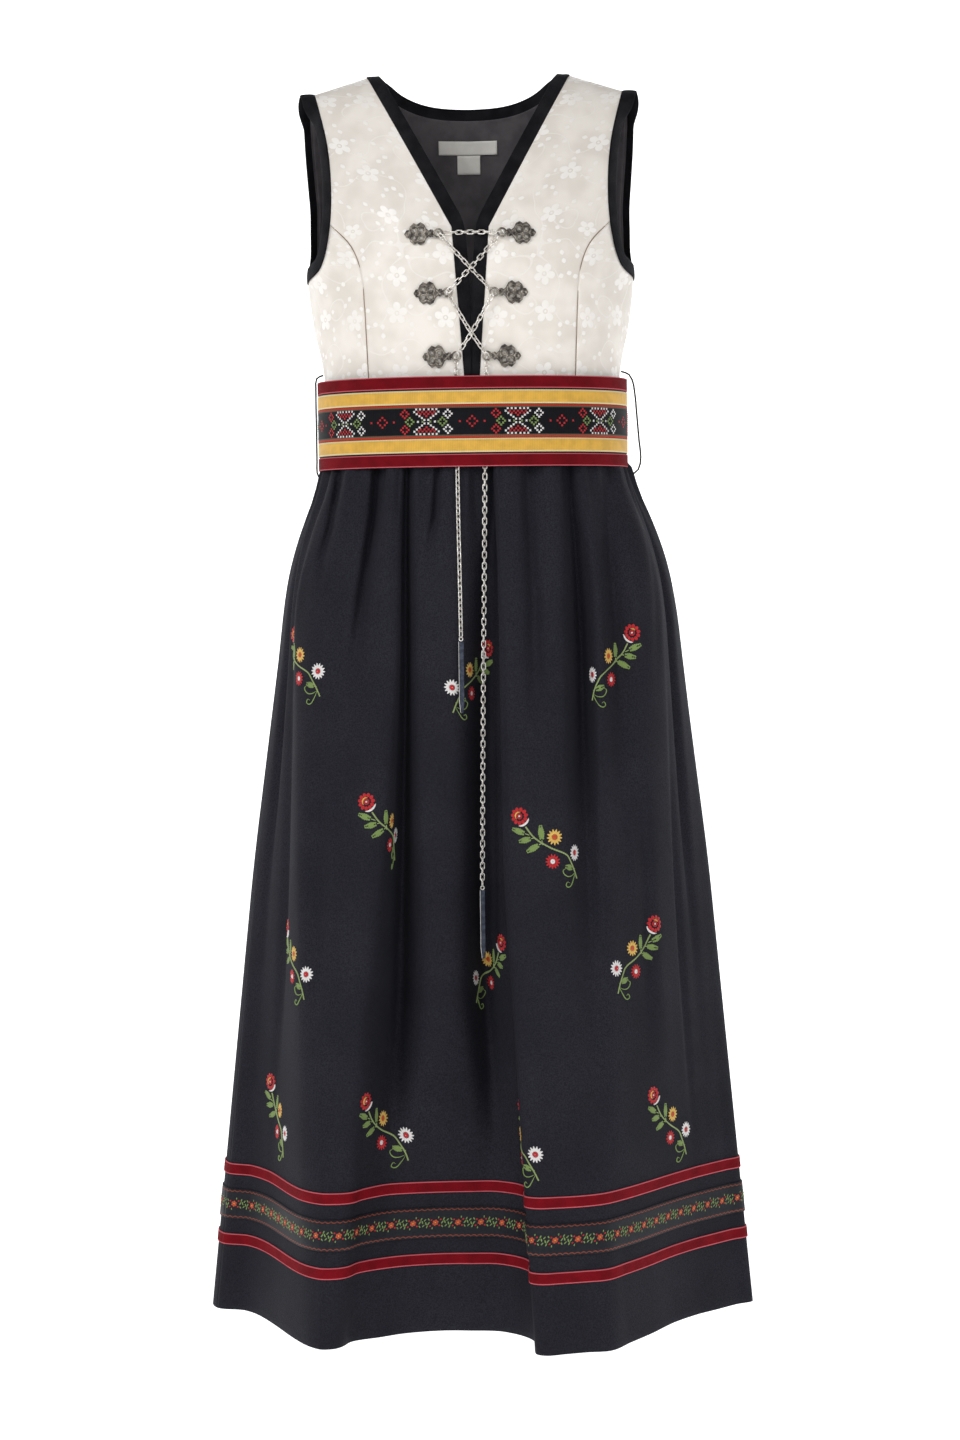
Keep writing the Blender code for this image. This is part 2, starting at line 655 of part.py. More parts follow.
def skirt_ring(z):
    """Points of the skirt's outer contour and how to move them out, by columns."""
    corners = fold_corners(z)
    if z > BELT_BOTTOM_Z:
        gather = GATHER_AT_SEAM + (1 - GATHER_AT_SEAM) * (WAIST_Z - z) / (WAIST_Z - BELT_BOTTOM_Z)
        corners = [corner * gather for corner in corners]
    count = len(corners)
    points = []
    for index in range(count):
        before, start, end, after = (corners[(index + shift) % count] for shift in (-1, 0, 1, 2))
        span = (end - start).length
        leave = (end - before).normalized() * span
        arrive = (after - start).normalized() * span
        steps = FRONT_STEPS if index < len(FRONT_FOLDS) - 1 else BACK_STEPS
        points += [bend(start, leave, end, arrive, step / steps) for step in range(steps)]
    outward = []
    count = len(points)
    for index in range(count):
        back_edge = (points[index] - points[index - 1]).normalized()
        next_edge = (points[(index + 1) % count] - points[index]).normalized()
        first, second = (Vector((edge.y, -edge.x)) for edge in (back_edge, next_edge))
        both = (first + second).normalized()
        outward.append(both / max(both.dot(first), 0.45))
    return points, outward


def skirt_point(ring, face, across, z, offset):
    """Point of one skirt panel, moved out from the cloth's outer surface."""
    points, outward = ring
    start = 0 if face == FRONT else FRONT_SKIRT_COLUMNS
    columns = FRONT_SKIRT_COLUMNS if face == FRONT else BACK_SKIRT_COLUMNS
    index = (start + across) % len(points)
    place = points[index] + outward[index] * offset
    if across in (0, columns):
        side = math.copysign(1.0, points[index].x)
        place = Vector((points[index].x + side * offset, face * SEAM / 2))
    return Vector((place.x, place.y, z))


def skirt_band(name, finish_name, face, heights, offsets, collection):
    """Wall that follows one skirt panel between two offsets from its cloth."""
    rings = [skirt_ring(z) for z in heights]
    columns = FRONT_SKIRT_COLUMNS if face == FRONT else BACK_SKIRT_COLUMNS

    def surface(offset):
        return lambda across, along: skirt_point(rings[along], face, across, heights[along], offset)

    return wall(name, finish_name, columns, len(heights) - 1,
                surface(offsets[0]), surface(offsets[1]), collection)


def build_skirt(collection):
    ribbon = (GAP + RIBBON, GAP)
    for face, label in ((FRONT, "front"), (BACK, "back")):
        skirt_band(f"skirt_{label}", "wool", face, SKIRT_ROWS, (0.0, -WALL), collection)
        skirt_band(f"hem_velvet_upper_{label}", "ribbon_velvet", face, UPPER_VELVET, ribbon, collection)
        skirt_band(f"hem_woven_{label}", "woven_ribbon", face, WOVEN_RIBBON, ribbon, collection)
        skirt_band(f"hem_velvet_lower_{label}", "ribbon_velvet", face, LOWER_VELVET, ribbon, collection)


def belt_point(share, z, offset):
    """Point of the belt, from its inner end at the back round to its outer end."""
    angle = -math.pi + share * (2 * math.pi + BELT_OVERLAP)
    lift = BELT_LIFT * smooth_step((angle - math.pi + BELT_LIFT_START) / BELT_LIFT_SPAN)
    power = 2 / ROUNDNESS
    out = offset + lift
    sine, cosine = math.sin(angle), math.cos(angle)
    depth = BELT_FRONT if cosine > 0 else BELT_BACK
    return Vector((
        math.copysign((BELT_HALF + out) * abs(sine) ** power, sine),
        -math.copysign((depth + out) * abs(cosine) ** power, cosine),
        z,
    ))


def belt_strip(name, finish_name, top, bottom, offsets, collection):
    def surface(offset):
        return lambda across, along: belt_point(across / BELT_STEPS, (bottom, top)[along], offset)

    return wall(name, finish_name, BELT_STEPS, 1, surface(offsets[0]), surface(offsets[1]), collection)


def build_belt(collection):
    belt_strip("belt_band", "belt_web", BELT_TOP_Z, BELT_BOTTOM_Z, (BELT_BAND, 0.0), collection)
    scale = (BELT_TOP_Z - BELT_BOTTOM_Z) / STRIPE_SPAN
    lies = BELT_BAND + GAP
    for name, start, end, finish_name in STRIPES:
        belt_strip(name, finish_name, BELT_TOP_Z - start * scale, BELT_TOP_Z - end * scale,
                   (lies + BELT_STRIPE, lies), collection)
    for name, route in (("belt_loop_left", LOOP_LEFT), ("belt_loop_right", LOOP_RIGHT)):
        points = [(x * MM, 0.0, z * MM) for x, z in route]
        tube(name, "cord", smooth_route(points, 2), LOOP_DIAMETER, collection)


def clasp_loops():
    """Outline of a clasp and its five holes, outwards from the ring's middle, in mm."""
    ring = [(RING_OUTER * math.cos(math.radians(turn)), RING_OUTER * math.sin(math.radians(turn)))
            for turn in (35, 70, 110, 145)]
    upper = list(reversed(CLASP_OUTLINE[:-1])) + ring
    outline = [CLASP_OUTLINE[-1]] + upper + [(-RING_OUTER, 0.0)]
    outline += [(x, -y) for x, y in reversed(upper)]
    hole = [(RING_HOLE * math.cos(math.radians(turn)), RING_HOLE * math.sin(math.radians(turn)))
            for turn in range(0, 360, 40)]
    loops = [outline, hole]
    for turn in TEARDROP_ANGLES:
        cosine, sine = math.cos(math.radians(turn)), math.sin(math.radians(turn))
        loops.append([(ROSETTE_X + x * cosine - y * sine, x * sine + y * cosine) for x, y in TEARDROP])
    return loops


def build_clasp(name, side, height, ring_x, collection):
    """Flat cast clasp: a pierced rosette on the cloth and a raised ring for the chain."""
    bm = bmesh.new()
    edges = []
    for loop in clasp_loops():
        vertices = [bm.verts.new((x, y, 0.0)) for x, y in loop]
        edges += [bm.edges.new(pair) for pair in zip(vertices, vertices[1:] + vertices[:1])]
    bmesh.ops.triangle_fill(bm, edges=edges, use_beauty=True)
    thick = bmesh.ops.extrude_face_region(bm, geom=bm.faces[:])
    raised = [item for item in thick["geom"] if isinstance(item, bmesh.types.BMVert)]
    bmesh.ops.translate(bm, verts=raised, vec=(0.0, 0.0, CLASP_PLATE))
    for vertex in bm.verts:
        out, up, thickness = vertex.co
        rise = CLASP_RISE * (1 - smooth_step((out - NECK_START) / (NECK_END - NECK_START)))
        x = side * (ring_x + out * MM)
        z = height + up * MM
        vertex.co = front_point(x, z, (CLASP_SEAT + rise + thickness) * MM)
    keep(bm, name, "silver_dark", collection)


def build_lacing(collection):
    for clasp in CLASPS:
        build_clasp(*clasp, collection)
    laced = [front_point(x * MM, z * MM, lift * MM) for x, z, lift in CHAIN_LACING]
    left = [Vector(point) * MM for point in CHAIN_LEFT_END]
    right = [Vector(point) * MM for point in CHAIN_RIGHT_END]
    route = smooth_route(left + laced + right, CHAIN_STEPS)
    tube("chain", "silver", route, CHAIN_DIAMETER, collection)
    for name, x, y, top, bottom in NEEDLES:
        bm = bmesh.new()
        bmesh.ops.create_cone(bm, cap_ends=True, segments=NEEDLE_SIDES, radius1=NEEDLE_TIP / 2,
                              radius2=NEEDLE_TOP / 2, depth=(top - bottom) * MM)
        bmesh.ops.translate(bm, verts=bm.verts[:], vec=Vector((x, y, (top + bottom) / 2)) * MM)
        keep(bm, name, "silver", collection)


def build_labels(collection):
    lies = WALL + GAP + LINING + LABEL_REST
    for name, middle, half, top, bottom in LABELS:
        def surface(inset):
            def at(across, along):
                z = (bottom, top)[along]
                x = middle + half * (2 * across / LABEL_COLUMNS - 1)
                return body_point(BACK, body_angle(x, z), z, inset)
            return at
        wall(name, "label", LABEL_COLUMNS, 1, surface(lies), surface(lies + LABEL), collection)


def main():
    clear_scene()
    collection = bpy.data.collections.new("folk_dress")
    bpy.context.scene.collection.children.link(collection)
    build_bodice(collection)
    build_bindings(collection)
    build_labels(collection)
    build_skirt(collection)
    build_belt(collection)
    build_lacing(collection)


main()
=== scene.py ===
"""Looks of the folk dress: cloth, bindings, belt, lacing, embroidery, light and camera.

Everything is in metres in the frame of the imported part: +Z up, the front faces
-Y, the wearer's right side is at -X and the origin is held at the shoulders.
"""
import math
from bisect import bisect_right

import bmesh
import bpy
import numpy as np
from mathutils import Matrix, Vector


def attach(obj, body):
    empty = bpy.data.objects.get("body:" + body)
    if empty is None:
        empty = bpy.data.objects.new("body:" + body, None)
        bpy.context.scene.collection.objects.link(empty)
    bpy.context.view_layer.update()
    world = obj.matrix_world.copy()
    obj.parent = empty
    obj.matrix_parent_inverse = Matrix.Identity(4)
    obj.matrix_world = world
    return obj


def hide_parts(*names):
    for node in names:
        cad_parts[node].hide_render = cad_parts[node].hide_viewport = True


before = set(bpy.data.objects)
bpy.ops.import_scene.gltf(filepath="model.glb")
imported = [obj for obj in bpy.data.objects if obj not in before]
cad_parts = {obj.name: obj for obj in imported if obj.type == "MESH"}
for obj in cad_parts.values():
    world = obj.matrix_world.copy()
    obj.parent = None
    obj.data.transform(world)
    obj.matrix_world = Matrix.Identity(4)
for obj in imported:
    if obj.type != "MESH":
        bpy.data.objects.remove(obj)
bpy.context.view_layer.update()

MM = 0.001
FRONT = -1
BACK = 1
FACES = ((FRONT, "front"), (BACK, "back"))
SIDES = ((-1, "left"), (1, "right"))
QUARTER = math.pi / 2
JOINED = 0.00001
SAME_PLACE = 0.0015
ROOT = "root"

# Camera: how far in front, how high, how far down it looks, its roll and lens
CAMERA_PLACE = (0.003, -2.8, -0.4307)
CAMERA_DOWN = 3.15
CAMERA_ROLL = -0.77
CAMERA_LENS = 75.4
FLOOR_Z = -1.62

# Studio: light of the world, the sweep of floor and backdrop, and the lamps
WORLD_LIGHT = 0.25
FLOOR_GLOW = (0.46, 0.46, 0.46, 1.0)
BACKDROP_GLOW = (0.95, 0.95, 0.95, 1.0)
FLOOR_SHADE = (0.93, 0.93, 0.93, 1.0)
GLOW_FROM_Y = 0.8
GLOW_FULL_Y = 3.0
SWEEP_START = -4.5
SWEEP_FLAT = 9.5
SWEEP_RADIUS = 1.6
SWEEP_WALL = 5.0
SWEEP_WIDE = 16.0
LAMPS_AIM = (0.0, 0.0, -0.5)
LAMPS = (
    ("key", (-1.7, -2.3, 1.0), (1.1, 1.4), 36.0), ("front", (0.25, -3.1, 0.35), (0.9, 0.9), 20.0),
    ("fill", (2.3, -1.9, 0.1), (1.4, 2.2), 12.0), ("rim_left", (-2.0, 0.9, 0.1), (0.8, 2.2), 11.0),
    ("rim_right", (2.0, 0.9, 0.1), (0.8, 2.2), 12.0),
)

# Cloth, repeated from the part's own sizes
WALL = 0.0015
LINING = 0.0010
GAP = 0.0003
NECK_Z = 0.0107
NECK_X = 0.0817
SHOULDER_FALL = 0.306
SHOULDER_FADE = 0.12
NECK_EDGE_X = 0.0925
NECK_BACK_Z = -0.0245
V_BOTTOM_Z = -0.1395
WAIST_Z = -0.3155
BELT_TOP_Z = -0.2720
BELT_BOTTOM_Z = -0.3525
HEM_Z = -1.1346
NECK_BINDING = 0.0110
ARMHOLE_BINDING = 0.0120
NECK_MIDDLE = (0.0, -0.09, -0.05)
SHOULDER_MIDDLE = (0.0, 0.0, 0.0)
ARM_MIDDLE = (0.20, 0.0, -0.07)
V_GAP_HALF = 0.0052
V_CLOSED_Z = -0.1740
V_CLOSED_HALF = 0.0002

# Sections of the bodice: height, half-width
ROUNDNESS = 2.3
RIDGE_DROP = 0.03
BODY_WIDTH = (
    (-0.3155, 0.1330), (-0.2669, 0.1364), (-0.2465, 0.1398), (-0.2230, 0.1450),
    (-0.1970, 0.1485), (-0.1800, 0.1500), (-0.1500, 0.1525), (-0.1200, 0.1550),
    (-0.0800, 0.1585), (-0.0300, 0.1590), (0.0300, 0.1590),
)
# Drop below the shoulder seam, depth of the front, depth of the back
BODY_DEPTH = (
    (0.000, 0.0000, 0.0000), (0.004, 0.0140, 0.0140), (0.012, 0.0260, 0.0270),
    (0.030, 0.0430, 0.0450), (0.060, 0.0620, 0.0650), (0.100, 0.0830, 0.0820),
    (0.140, 0.0965, 0.0920), (0.180, 0.1020, 0.0955), (0.220, 0.1005, 0.0945),
    (0.260, 0.0958, 0.0900), (0.3155, 0.0910, 0.0850),
)
# Height, distance of the armhole seam from the middle in front and behind
ARMHOLE = (
    (-0.1800, 0.1500, 0.1500), (-0.1730, 0.1390, 0.1478), (-0.1650, 0.1340, 0.1458),
    (-0.1520, 0.1300, 0.1440), (-0.1320, 0.1268, 0.1435), (-0.1090, 0.1255, 0.1432),
    (-0.0820, 0.1265, 0.1449), (-0.0560, 0.1298, 0.1465), (-0.0300, 0.1358, 0.1470),
    (-0.0150, 0.1402, 0.1452), (-0.0079, 0.1425, 0.1425),
)
# Height and distance from the middle of the seam down the bust
BUST_SEAM = (
    (-0.3155, 0.0920), (-0.2720, 0.0932), (-0.2320, 0.0945), (-0.2060, 0.0956),
    (-0.1780, 0.0980), (-0.1530, 0.1075), (-0.1320, 0.1268),
)
# Height and distance from the middle of the cream cloth's front edge
FRONT_EDGE = ((-0.3155, 0.0055), (-0.2732, 0.0063), (-0.1395, 0.0154))
PRINCESS_ROWS = 6
BACK_LOW_ROWS = 6
ARMHOLE_JOIN = 4
FRONT_COLUMNS = 8
FRONT_ROWS = PRINCESS_ROWS + len(ARMHOLE) - 1 - ARMHOLE_JOIN
SIDE_COLUMNS = ARMHOLE_JOIN
BACK_COLUMNS = 16
BACK_ROWS = BACK_LOW_ROWS + len(ARMHOLE) - 1
SHOULDER_COLUMNS = 3
NECK_EASE = 1.5
PANEL_FINE = 7
# Profile of a binding: share of its width, and height off the cloth in mm
TRIM_PROFILE = ((-0.10, 0.6), (0.0, 1.05), (0.30, 1.3), (0.65, 1.2), (0.90, 0.8), (1.0, 0.0), (0.98, -1.0))

# Skirt: four heights that the fold table gives
FOLD_HEIGHTS = (-0.3525, -0.4950, -0.7150, -0.9900)
WAIST_EASE = 1.8
GATHER_AT_SEAM = 0.967
UPPER_VELVET = (-0.9968, -1.0070)
WOVEN_RIBBON = (-1.0205, -1.0485)
LOWER_VELVET = (-1.0628, -1.0730)
# Ribbons of the hem: name, finish and the heights of their edges
HEM_RIBBONS = (
    ("hem_velvet_upper", "ribbon_velvet", UPPER_VELVET), ("hem_woven", "woven_ribbon", WOVEN_RIBBON),
    ("hem_velvet_lower", "ribbon_velvet", LOWER_VELVET),
)
RIBBON_ROWS = 6
# From the left seam to the right: x at the four heights, then how far forward, in mm
FRONT_FOLDS = (
    (-136, -178, -207, -236, 0, 0, 0, 0), (-134, -172, -195, -214, 12, 28, 18, 14),
    (-126, -165, -177, -195, 38, 42, 50, 44), (-116, -161, -164, -165, 58, 66, 97, 118),
    (-103, -138, -143, -146, 70, 88, 113, 140), (-87, -111, -119, -130, 75, 88, 121, 143),
    (-74, -85, -97, -117, 85, 103, 124, 139), (-65, -68, -82, -106, 88, 101, 115, 124),
    (-60, -63, -73, -87, 84, 86, 88, 106), (-47, -51, -57, -67, 91, 101, 97, 101),
    (-25, -30, -33, -38, 92, 106, 103, 98), (-8, -11, -11, -13, 91, 103, 98, 97),
    (4, 5, 5, 13, 88, 91, 90, 98), (17, 23, 25, 37, 89, 90, 94, 120),
    (17, 21, 22, 37, 95, 112, 132, 163), (26, 30, 33, 47, 95, 118, 142, 171),
    (47, 51, 50, 64, 88, 113, 148, 170), (69, 76, 76, 85, 85, 112, 146, 166),
    (83, 94, 95, 106, 75, 88, 126, 156), (97, 110, 110, 123, 72, 105, 130, 140),
    (111, 124, 133, 145, 58, 88, 112, 113), (122, 148, 156, 167, 48, 94, 96, 84),
    (131, 167, 176, 189, 31, 78, 68, 56), (135, 175, 188, 205, 20, 50, 44, 37),
    (137, 183, 202, 224, 9, 32, 24, 17), (138, 187, 214, 239, 0, 0, 0, 0),
)
# Depth of the back and height of its pleats at the four heights, in mm
BACK_REACH = (86, 112, 140, 160)
BACK_SWELL = (2.0, 7.0, 11.0, 13.0)
BACK_FULLNESS = 0.9
# Angle round the back from the right seam in degrees, and how far it swings out
BACK_FOLDS = (
    (11, -0.5), (23, 0.8), (35, -0.9), (50, 1.0), (60, -1.0), (76, 0.9), (86, -0.8),
    (99, 1.0), (110, -1.0), (123, 0.8), (134, -0.9), (147, 1.0), (159, -0.8), (170, 0.5),
)
FRONT_STEPS = 12
BACK_STEPS = 16
FRONT_SKIRT_COLUMNS = (len(FRONT_FOLDS) - 1) * FRONT_STEPS
SKIRT_TOP_Z = -0.3400
SKIRT_ROW = 0.0060
SOFTEN_HEIGHT = 0.030
RIBBON = 0.0010
# Gathers round the waist: how many, shift, share of the rise, how far down they reach
GATHERS = ((34, 0.10, 0.70, 0.13), (23, 0.37, 0.50, 0.19), (61, 0.71, 0.30, 0.06))
GATHER_RISE = 0.0030
GATHER_HIDDEN = 0.006
# Soft creases: place round the skirt in thousandths, height, turn, length, width, rise (mm)
RING_SPAN = 1000.0
SKIRT_CREASES = (
    (62, -470, 84, 60, 7, 1.8), (118, -560, 95, 80, 6, 1.6), (170, -450, 88, 55, 5, -1.6),
    (205, -640, 92, 90, 6, 1.5), (262, -520, 86, 70, 5, 1.7), (318, -610, 90, 100, 6, -1.6),
    (352, -430, 93, 45, 4, 1.5), (398, -700, 88, 90, 6, 1.6), (440, -520, 91, 70, 5, 1.6),
    (486, -480, 85, 60, 5, -1.5), (560, -520, 92, 80, 6, 1.7), (610, -440, 88, 50, 5, -1.5),
    (655, -600, 90, 90, 6, 1.6), (702, -500, 86, 60, 5, 1.6), (748, -660, 93, 100, 6, -1.6),
    (800, -460, 90, 60, 5, 1.7), (846, -580, 88, 80, 6, 1.5), (905, -500, 92, 70, 5, -1.6),
    (955, -620, 87, 80, 6, 1.5), (90, -850, 90, 70, 8, 1.5), (300, -860, 88, 80, 8, -1.5),
    (470, -830, 92, 70, 8, 1.5), (680, -850, 90, 80, 8, 1.5), (880, -820, 88, 70, 8, -1.5),
    (22, -560, 90, 170, 5, -7), (44, -760, 90, 150, 5, -6), (518, -580, 90, 170, 5, -7),
    (498, -760, 90, 150, 5, -5), (566, -620, 90, 180, 5, -7), (586, -800, 90, 140, 6, 5),
    (974, -600, 90, 180, 5, -7), (956, -800, 90, 140, 6, 5),
)
# Deep valleys between the pleats, each from the belt down: x, height, depth, and how far
# it spreads to the left and to the right, in mm; the back has the same ones mirrored
SKIRT_VALLEYS = (
    ((-122, -358, 11, 3.6, 3.6), (-124, -376, 12, 3.6, 3.6), (-130, -405, 12, 3.6, 3.6),
     (-137, -428, 7, 3.6, 4.5), (-139, -457, 0, 4.5, 5.4)),
    ((-87, -353, 14, 3.2, 3.6), (-90, -392, 15, 3.1, 4.0), (-95, -424, 15, 3.6, 4.5),
     (-102, -467, 12, 4.0, 5.4), (-107, -505, 6, 4.5, 6.3), (-113, -560, 0, 5.4, 7.2)),
    ((-59, -353, 9, 3.2, 3.6), (-61, -392, 10, 3.1, 3.6), (-62, -442, 10, 3.6, 3.6),
     (-63, -493, 10, 3.6, 4.0), (-64, -564, 13, 4.5, 4.5), (-68, -697, 24, 8.5, 8.5),
     (-73, -829, 34, 13.5, 14.5), (-78, -907, 18, 13.3, 14.1), (-83, -968, 0, 10.6, 12.4)),
    ((-32, -353, 10, 2.7, 2.7), (-35, -394, 10, 2.7, 2.7), (-39, -414, 4, 2.7, 3.6),
     (-43, -443, 0, 3.6, 4.5)),
    ((17, -353, 7, 4.5, 2.7), (18, -394, 9, 5.4, 3.1), (14, -439, 13, 9.0, 4.5),
     (9, -493, 16, 10.8, 7.2), (6, -564, 22, 12.5, 8.9), (5, -697, 27, 11.6, 9.8), (6, -829, 36, 14.5, 11.5),
     (11, -907, 20, 12.4, 10.6), (15, -972, 0, 10.6, 8.8)),
    ((48, -367, 7, 5.0, 5.0), (50, -439, 9, 5.5, 5.5), (52, -475, 9, 6.0, 6.0), (53, -519, 7, 7.2, 7.2),
     (54, -591, 0, 7.1, 7.1)),
    ((85, -353, 5, 2.3, 4.5), (90, -421, 8, 2.2, 5.4), (92, -466, 9, 2.7, 6.3), (95, -519, 10, 3.6, 6.3),
     (95, -564, 10, 5.4, 7.2), (95, -617, 8, 7.1, 8.0), (96, -697, 5, 8.0, 8.9), (96, -794, 0, 8.0, 8.9)),
    ((119, -358, 2.5, 4.5, 4.5), (123, -439, 4, 4.5, 5.4), (129, -528, 3, 5.4, 6.3),
     (135, -617, 0, 5.4, 6.2)),
    ((-138, -564, 0, 7.2, 7.2), (-143, -670, 5, 8.0, 8.0), (-145, -767, 6, 8.9, 8.9),
     (-144, -872, 3, 8.9, 8.9), (-143, -933, 0, 8.8, 8.8)),
    ((145, -617, 0, 6.2, 6.2), (149, -697, 5, 6.2, 7.1), (151, -794, 5, 7.1, 7.1),
     (151, -899, 0, 7.1, 7.1)),
)

# Creases of the bodice: face, x, height, turn, length, width and rise, in mm and degrees
BODICE_CREASES = (
    (FRONT, -86, -148, -50, 36, 7, 0.9), (FRONT, -70, -122, -58, 30, 6, 0.6),
    (FRONT, -104, -178, -38, 22, 5, 0.9), (FRONT, -112, -226, -72, 26, 5, 0.8),
    (FRONT, -124, -246, -86, 34, 5, -0.8), (FRONT, -74, -240, -80, 32, 8, 0.8),
    (FRONT, -50, -262, 74, 18, 6, 0.5), (FRONT, 84, -152, 52, 34, 7, 0.8),
    (FRONT, 68, -118, 60, 28, 6, 0.6), (FRONT, 102, -184, 36, 24, 5, 0.9),
    (FRONT, 116, -232, 76, 28, 5, 0.8), (FRONT, 126, -250, 88, 30, 5, -0.7),
    (FRONT, 78, -236, 82, 34, 8, 0.7), (FRONT, 54, -258, -70, 18, 6, 0.5),
    (BACK, -58, -118, -72, 46, 10, 0.8), (BACK, 46, -146, 76, 50, 9, 0.8),
    (BACK, 4, -222, 4, 58, 7, 0.7), (BACK, -22, -258, -3, 46, 6, -0.7),
    (BACK, 92, -228, 58, 32, 7, 0.9), (BACK, -96, -234, -62, 32, 7, 0.9),
    (BACK, 118, -196, 74, 28, 5, 0.7), (BACK, -116, -204, -70, 28, 5, 0.7),
    (BACK, 18, -58, 12, 28, 6, 0.5), (BACK, -34, -70, -20, 26, 5, 0.4),
)
SEAM_WIDTH = 0.0022
SEAM_DIP = 0.5
SEAM_TOP = 134.0
SEAM_FADE = 3.0
SEAM_THREAD = 0.0009
SEAM_THREAD_SUNK = 0.0003

# Belt: its inner half-width and depths, and its stripes in mm from the top
BELT_HALF = 0.1397
BELT_FRONT = 0.0995
BELT_BACK = 0.0898
BELT_BAND = 0.0020
BELT_STRIPE = 0.0008
BELT_OVERLAP = 0.30
BELT_LIFT = 0.0038
BELT_LIFT_START = 0.45
BELT_LIFT_SPAN = 0.35
BELT_COLUMNS = 360
STRIPE_SPAN = 83.0
STRIPE_SCALE = (BELT_TOP_Z - BELT_BOTTOM_Z) / STRIPE_SPAN
STRIPE_ROWS = 4
BELT_ROWS = 12
STRIPES = (
    ("belt_velvet_top", 0.0, 11.5, "belt_velvet"),
    ("belt_yellow_top", 13.0, 25.8, "belt_yellow"),
    ("belt_woven", 26.2, 56.8, "belt_weave"),
    ("belt_yellow_bottom", 57.2, 70.0, "belt_yellow"),
    ("belt_velvet_bottom", 71.5, 83.0, "belt_velvet"),
)

# Chain: the same route as the part's, in mm
RING_OVER = 6.5
RING_UNDER = 2.3
RING_MIDDLE = 4.4
CHAIN_LACING = (
    (-14.2, -345.0, 5.0), (-14.4, -300.0, 3.8), (-14.2, -272.0, 3.2), (-13.8, -258.1, RING_UNDER),
    (-13.7, -254.5, RING_MIDDLE), (-11.7, -251.5, RING_OVER), (0.0, -234.3, RING_OVER),
    (18.9, -201.6, RING_OVER), (20.7, -198.5, RING_MIDDLE), (18.2, -195.9, RING_UNDER),
    (0.0, -177.0, 3.0), (-25.9, -148.2, RING_OVER), (-28.3, -145.5, RING_MIDDLE),
    (-24.7, -145.3, RING_UNDER), (0.0, -145.0, 3.8), (24.7, -145.6, RING_OVER),
    (28.3, -145.5, RING_MIDDLE), (25.9, -148.2, RING_UNDER), (0.0, -177.0, 5.8),
    (-18.2, -195.9, RING_OVER), (-20.7, -198.5, RING_MIDDLE), (-18.9, -201.6, RING_UNDER),
    (0.0, -234.3, 3.6), (11.7, -251.5, RING_OVER), (13.7, -254.5, RING_MIDDLE),
    (13.8, -258.1, RING_UNDER), (12.6, -272.0, 3.2), (11.4, -300.0, 3.8), (10.6, -345.0, 5.0),
)
CHAIN_LEFT_END = ((-13.0, -107.1, -503.8), (-13.4, -105.3, -450.0), (-14.0, -99.9, -395.0))
CHAIN_RIGHT_END = ((9.0, -97.4, -430.0), (6.2, -97.6, -560.0), (3.2, -97.6, -728.2))
NEEDLES = (("needle_left", -13.0, -107.3, -504.2, -572.4), ("needle_right", 3.2, -97.6, -728.6, -794.8))
CHAIN_STEPS = 6
LINK_PITCH = 0.0050
LINK_LENGTH = 0.0078
LINK_WIDTH = 0.0048
LINK_WIRE = 0.00115
LINK_STATIONS = 14
NEEDLE_WIDE = 0.0048
NEEDLE_THICK = 0.0012
NEEDLE_POINT = 0.010
NEEDLE_EYE = 0.0042
NEEDLE_EYE_WIRE = 0.0005
NEEDLE_ROUND = 0.00045
NEEDLE_TAPER = 0.45

# Clasps: name, side, height of the ring and its distance from the middle
CLASPS = (
    ("clasp_top_left", -1, -0.1455, 0.0283), ("clasp_top_right", 1, -0.1455, 0.0283),
    ("clasp_middle_left", -1, -0.1985, 0.0207), ("clasp_middle_right", 1, -0.1985, 0.0207),
    ("clasp_bottom_left", -1, -0.2545, 0.0137), ("clasp_bottom_right", 1, -0.2545, 0.0137),
)
# Filigree of a clasp, in mm outwards from its ring and upwards
CLASP_TOP = 1.9
CLASP_RISE = 3.1
NECK_START = 4.2
NECK_END = 11.0
ROSETTE_X = 18.6
TEARDROP_ANGLES = (48, 132, 228, 312)
CLASP_TIP = 28.2
FILIGREE_WIRE = 0.45
CLASP_RING = 3.8
ROSETTE_HOLE = 1.7
LOBE_OUT = 4.2
LOBE = 4.1
CLASP_BEADS = ((ROSETTE_X, 0.0, 1.1), (CLASP_TIP, 0.0, 1.3), (26.4, 1.8, 0.8), (26.4, -1.8, 0.8))
LABELS = (
    ("neck_label", -0.0012, 0.0282, -0.0431, -0.0555),
    ("size_label", -0.0005, 0.0110, -0.0559, -0.0731),
)
LABEL = 0.0010
LABEL_REST = 0.0009
LABEL_COLUMNS = 24
LABEL_ROWS = 8

# Brocade: cloth from one flower to the next and from one pair of leaves to the next
BROCADE_FLOWER = 0.044
BROCADE_LEAF = 0.0205

# Materials by name, and the effects that they share
FINISHES = {}
EFFECTS = {}

# Stitching: how deep its edges sink in the cloth and how far satin stitch stands up
STITCH_SUNK = 0.0002
PETAL_RISE = 0.0009
THREADS = ("thread_red", "thread_white", "thread_yellow", "thread_orange", "thread_leaf", "thread_stem")
THREAD_SHADES = (
    (205, 38, 44), (250, 247, 246), (243, 200, 104), (214, 88, 52), (138, 164, 92), (150, 168, 108),
)
RED, WHITE, YELLOW, ORANGE, LEAF, STEM = range(6)
ROSE_PETALS = 11
SPRIG_WIDEN = 1.12
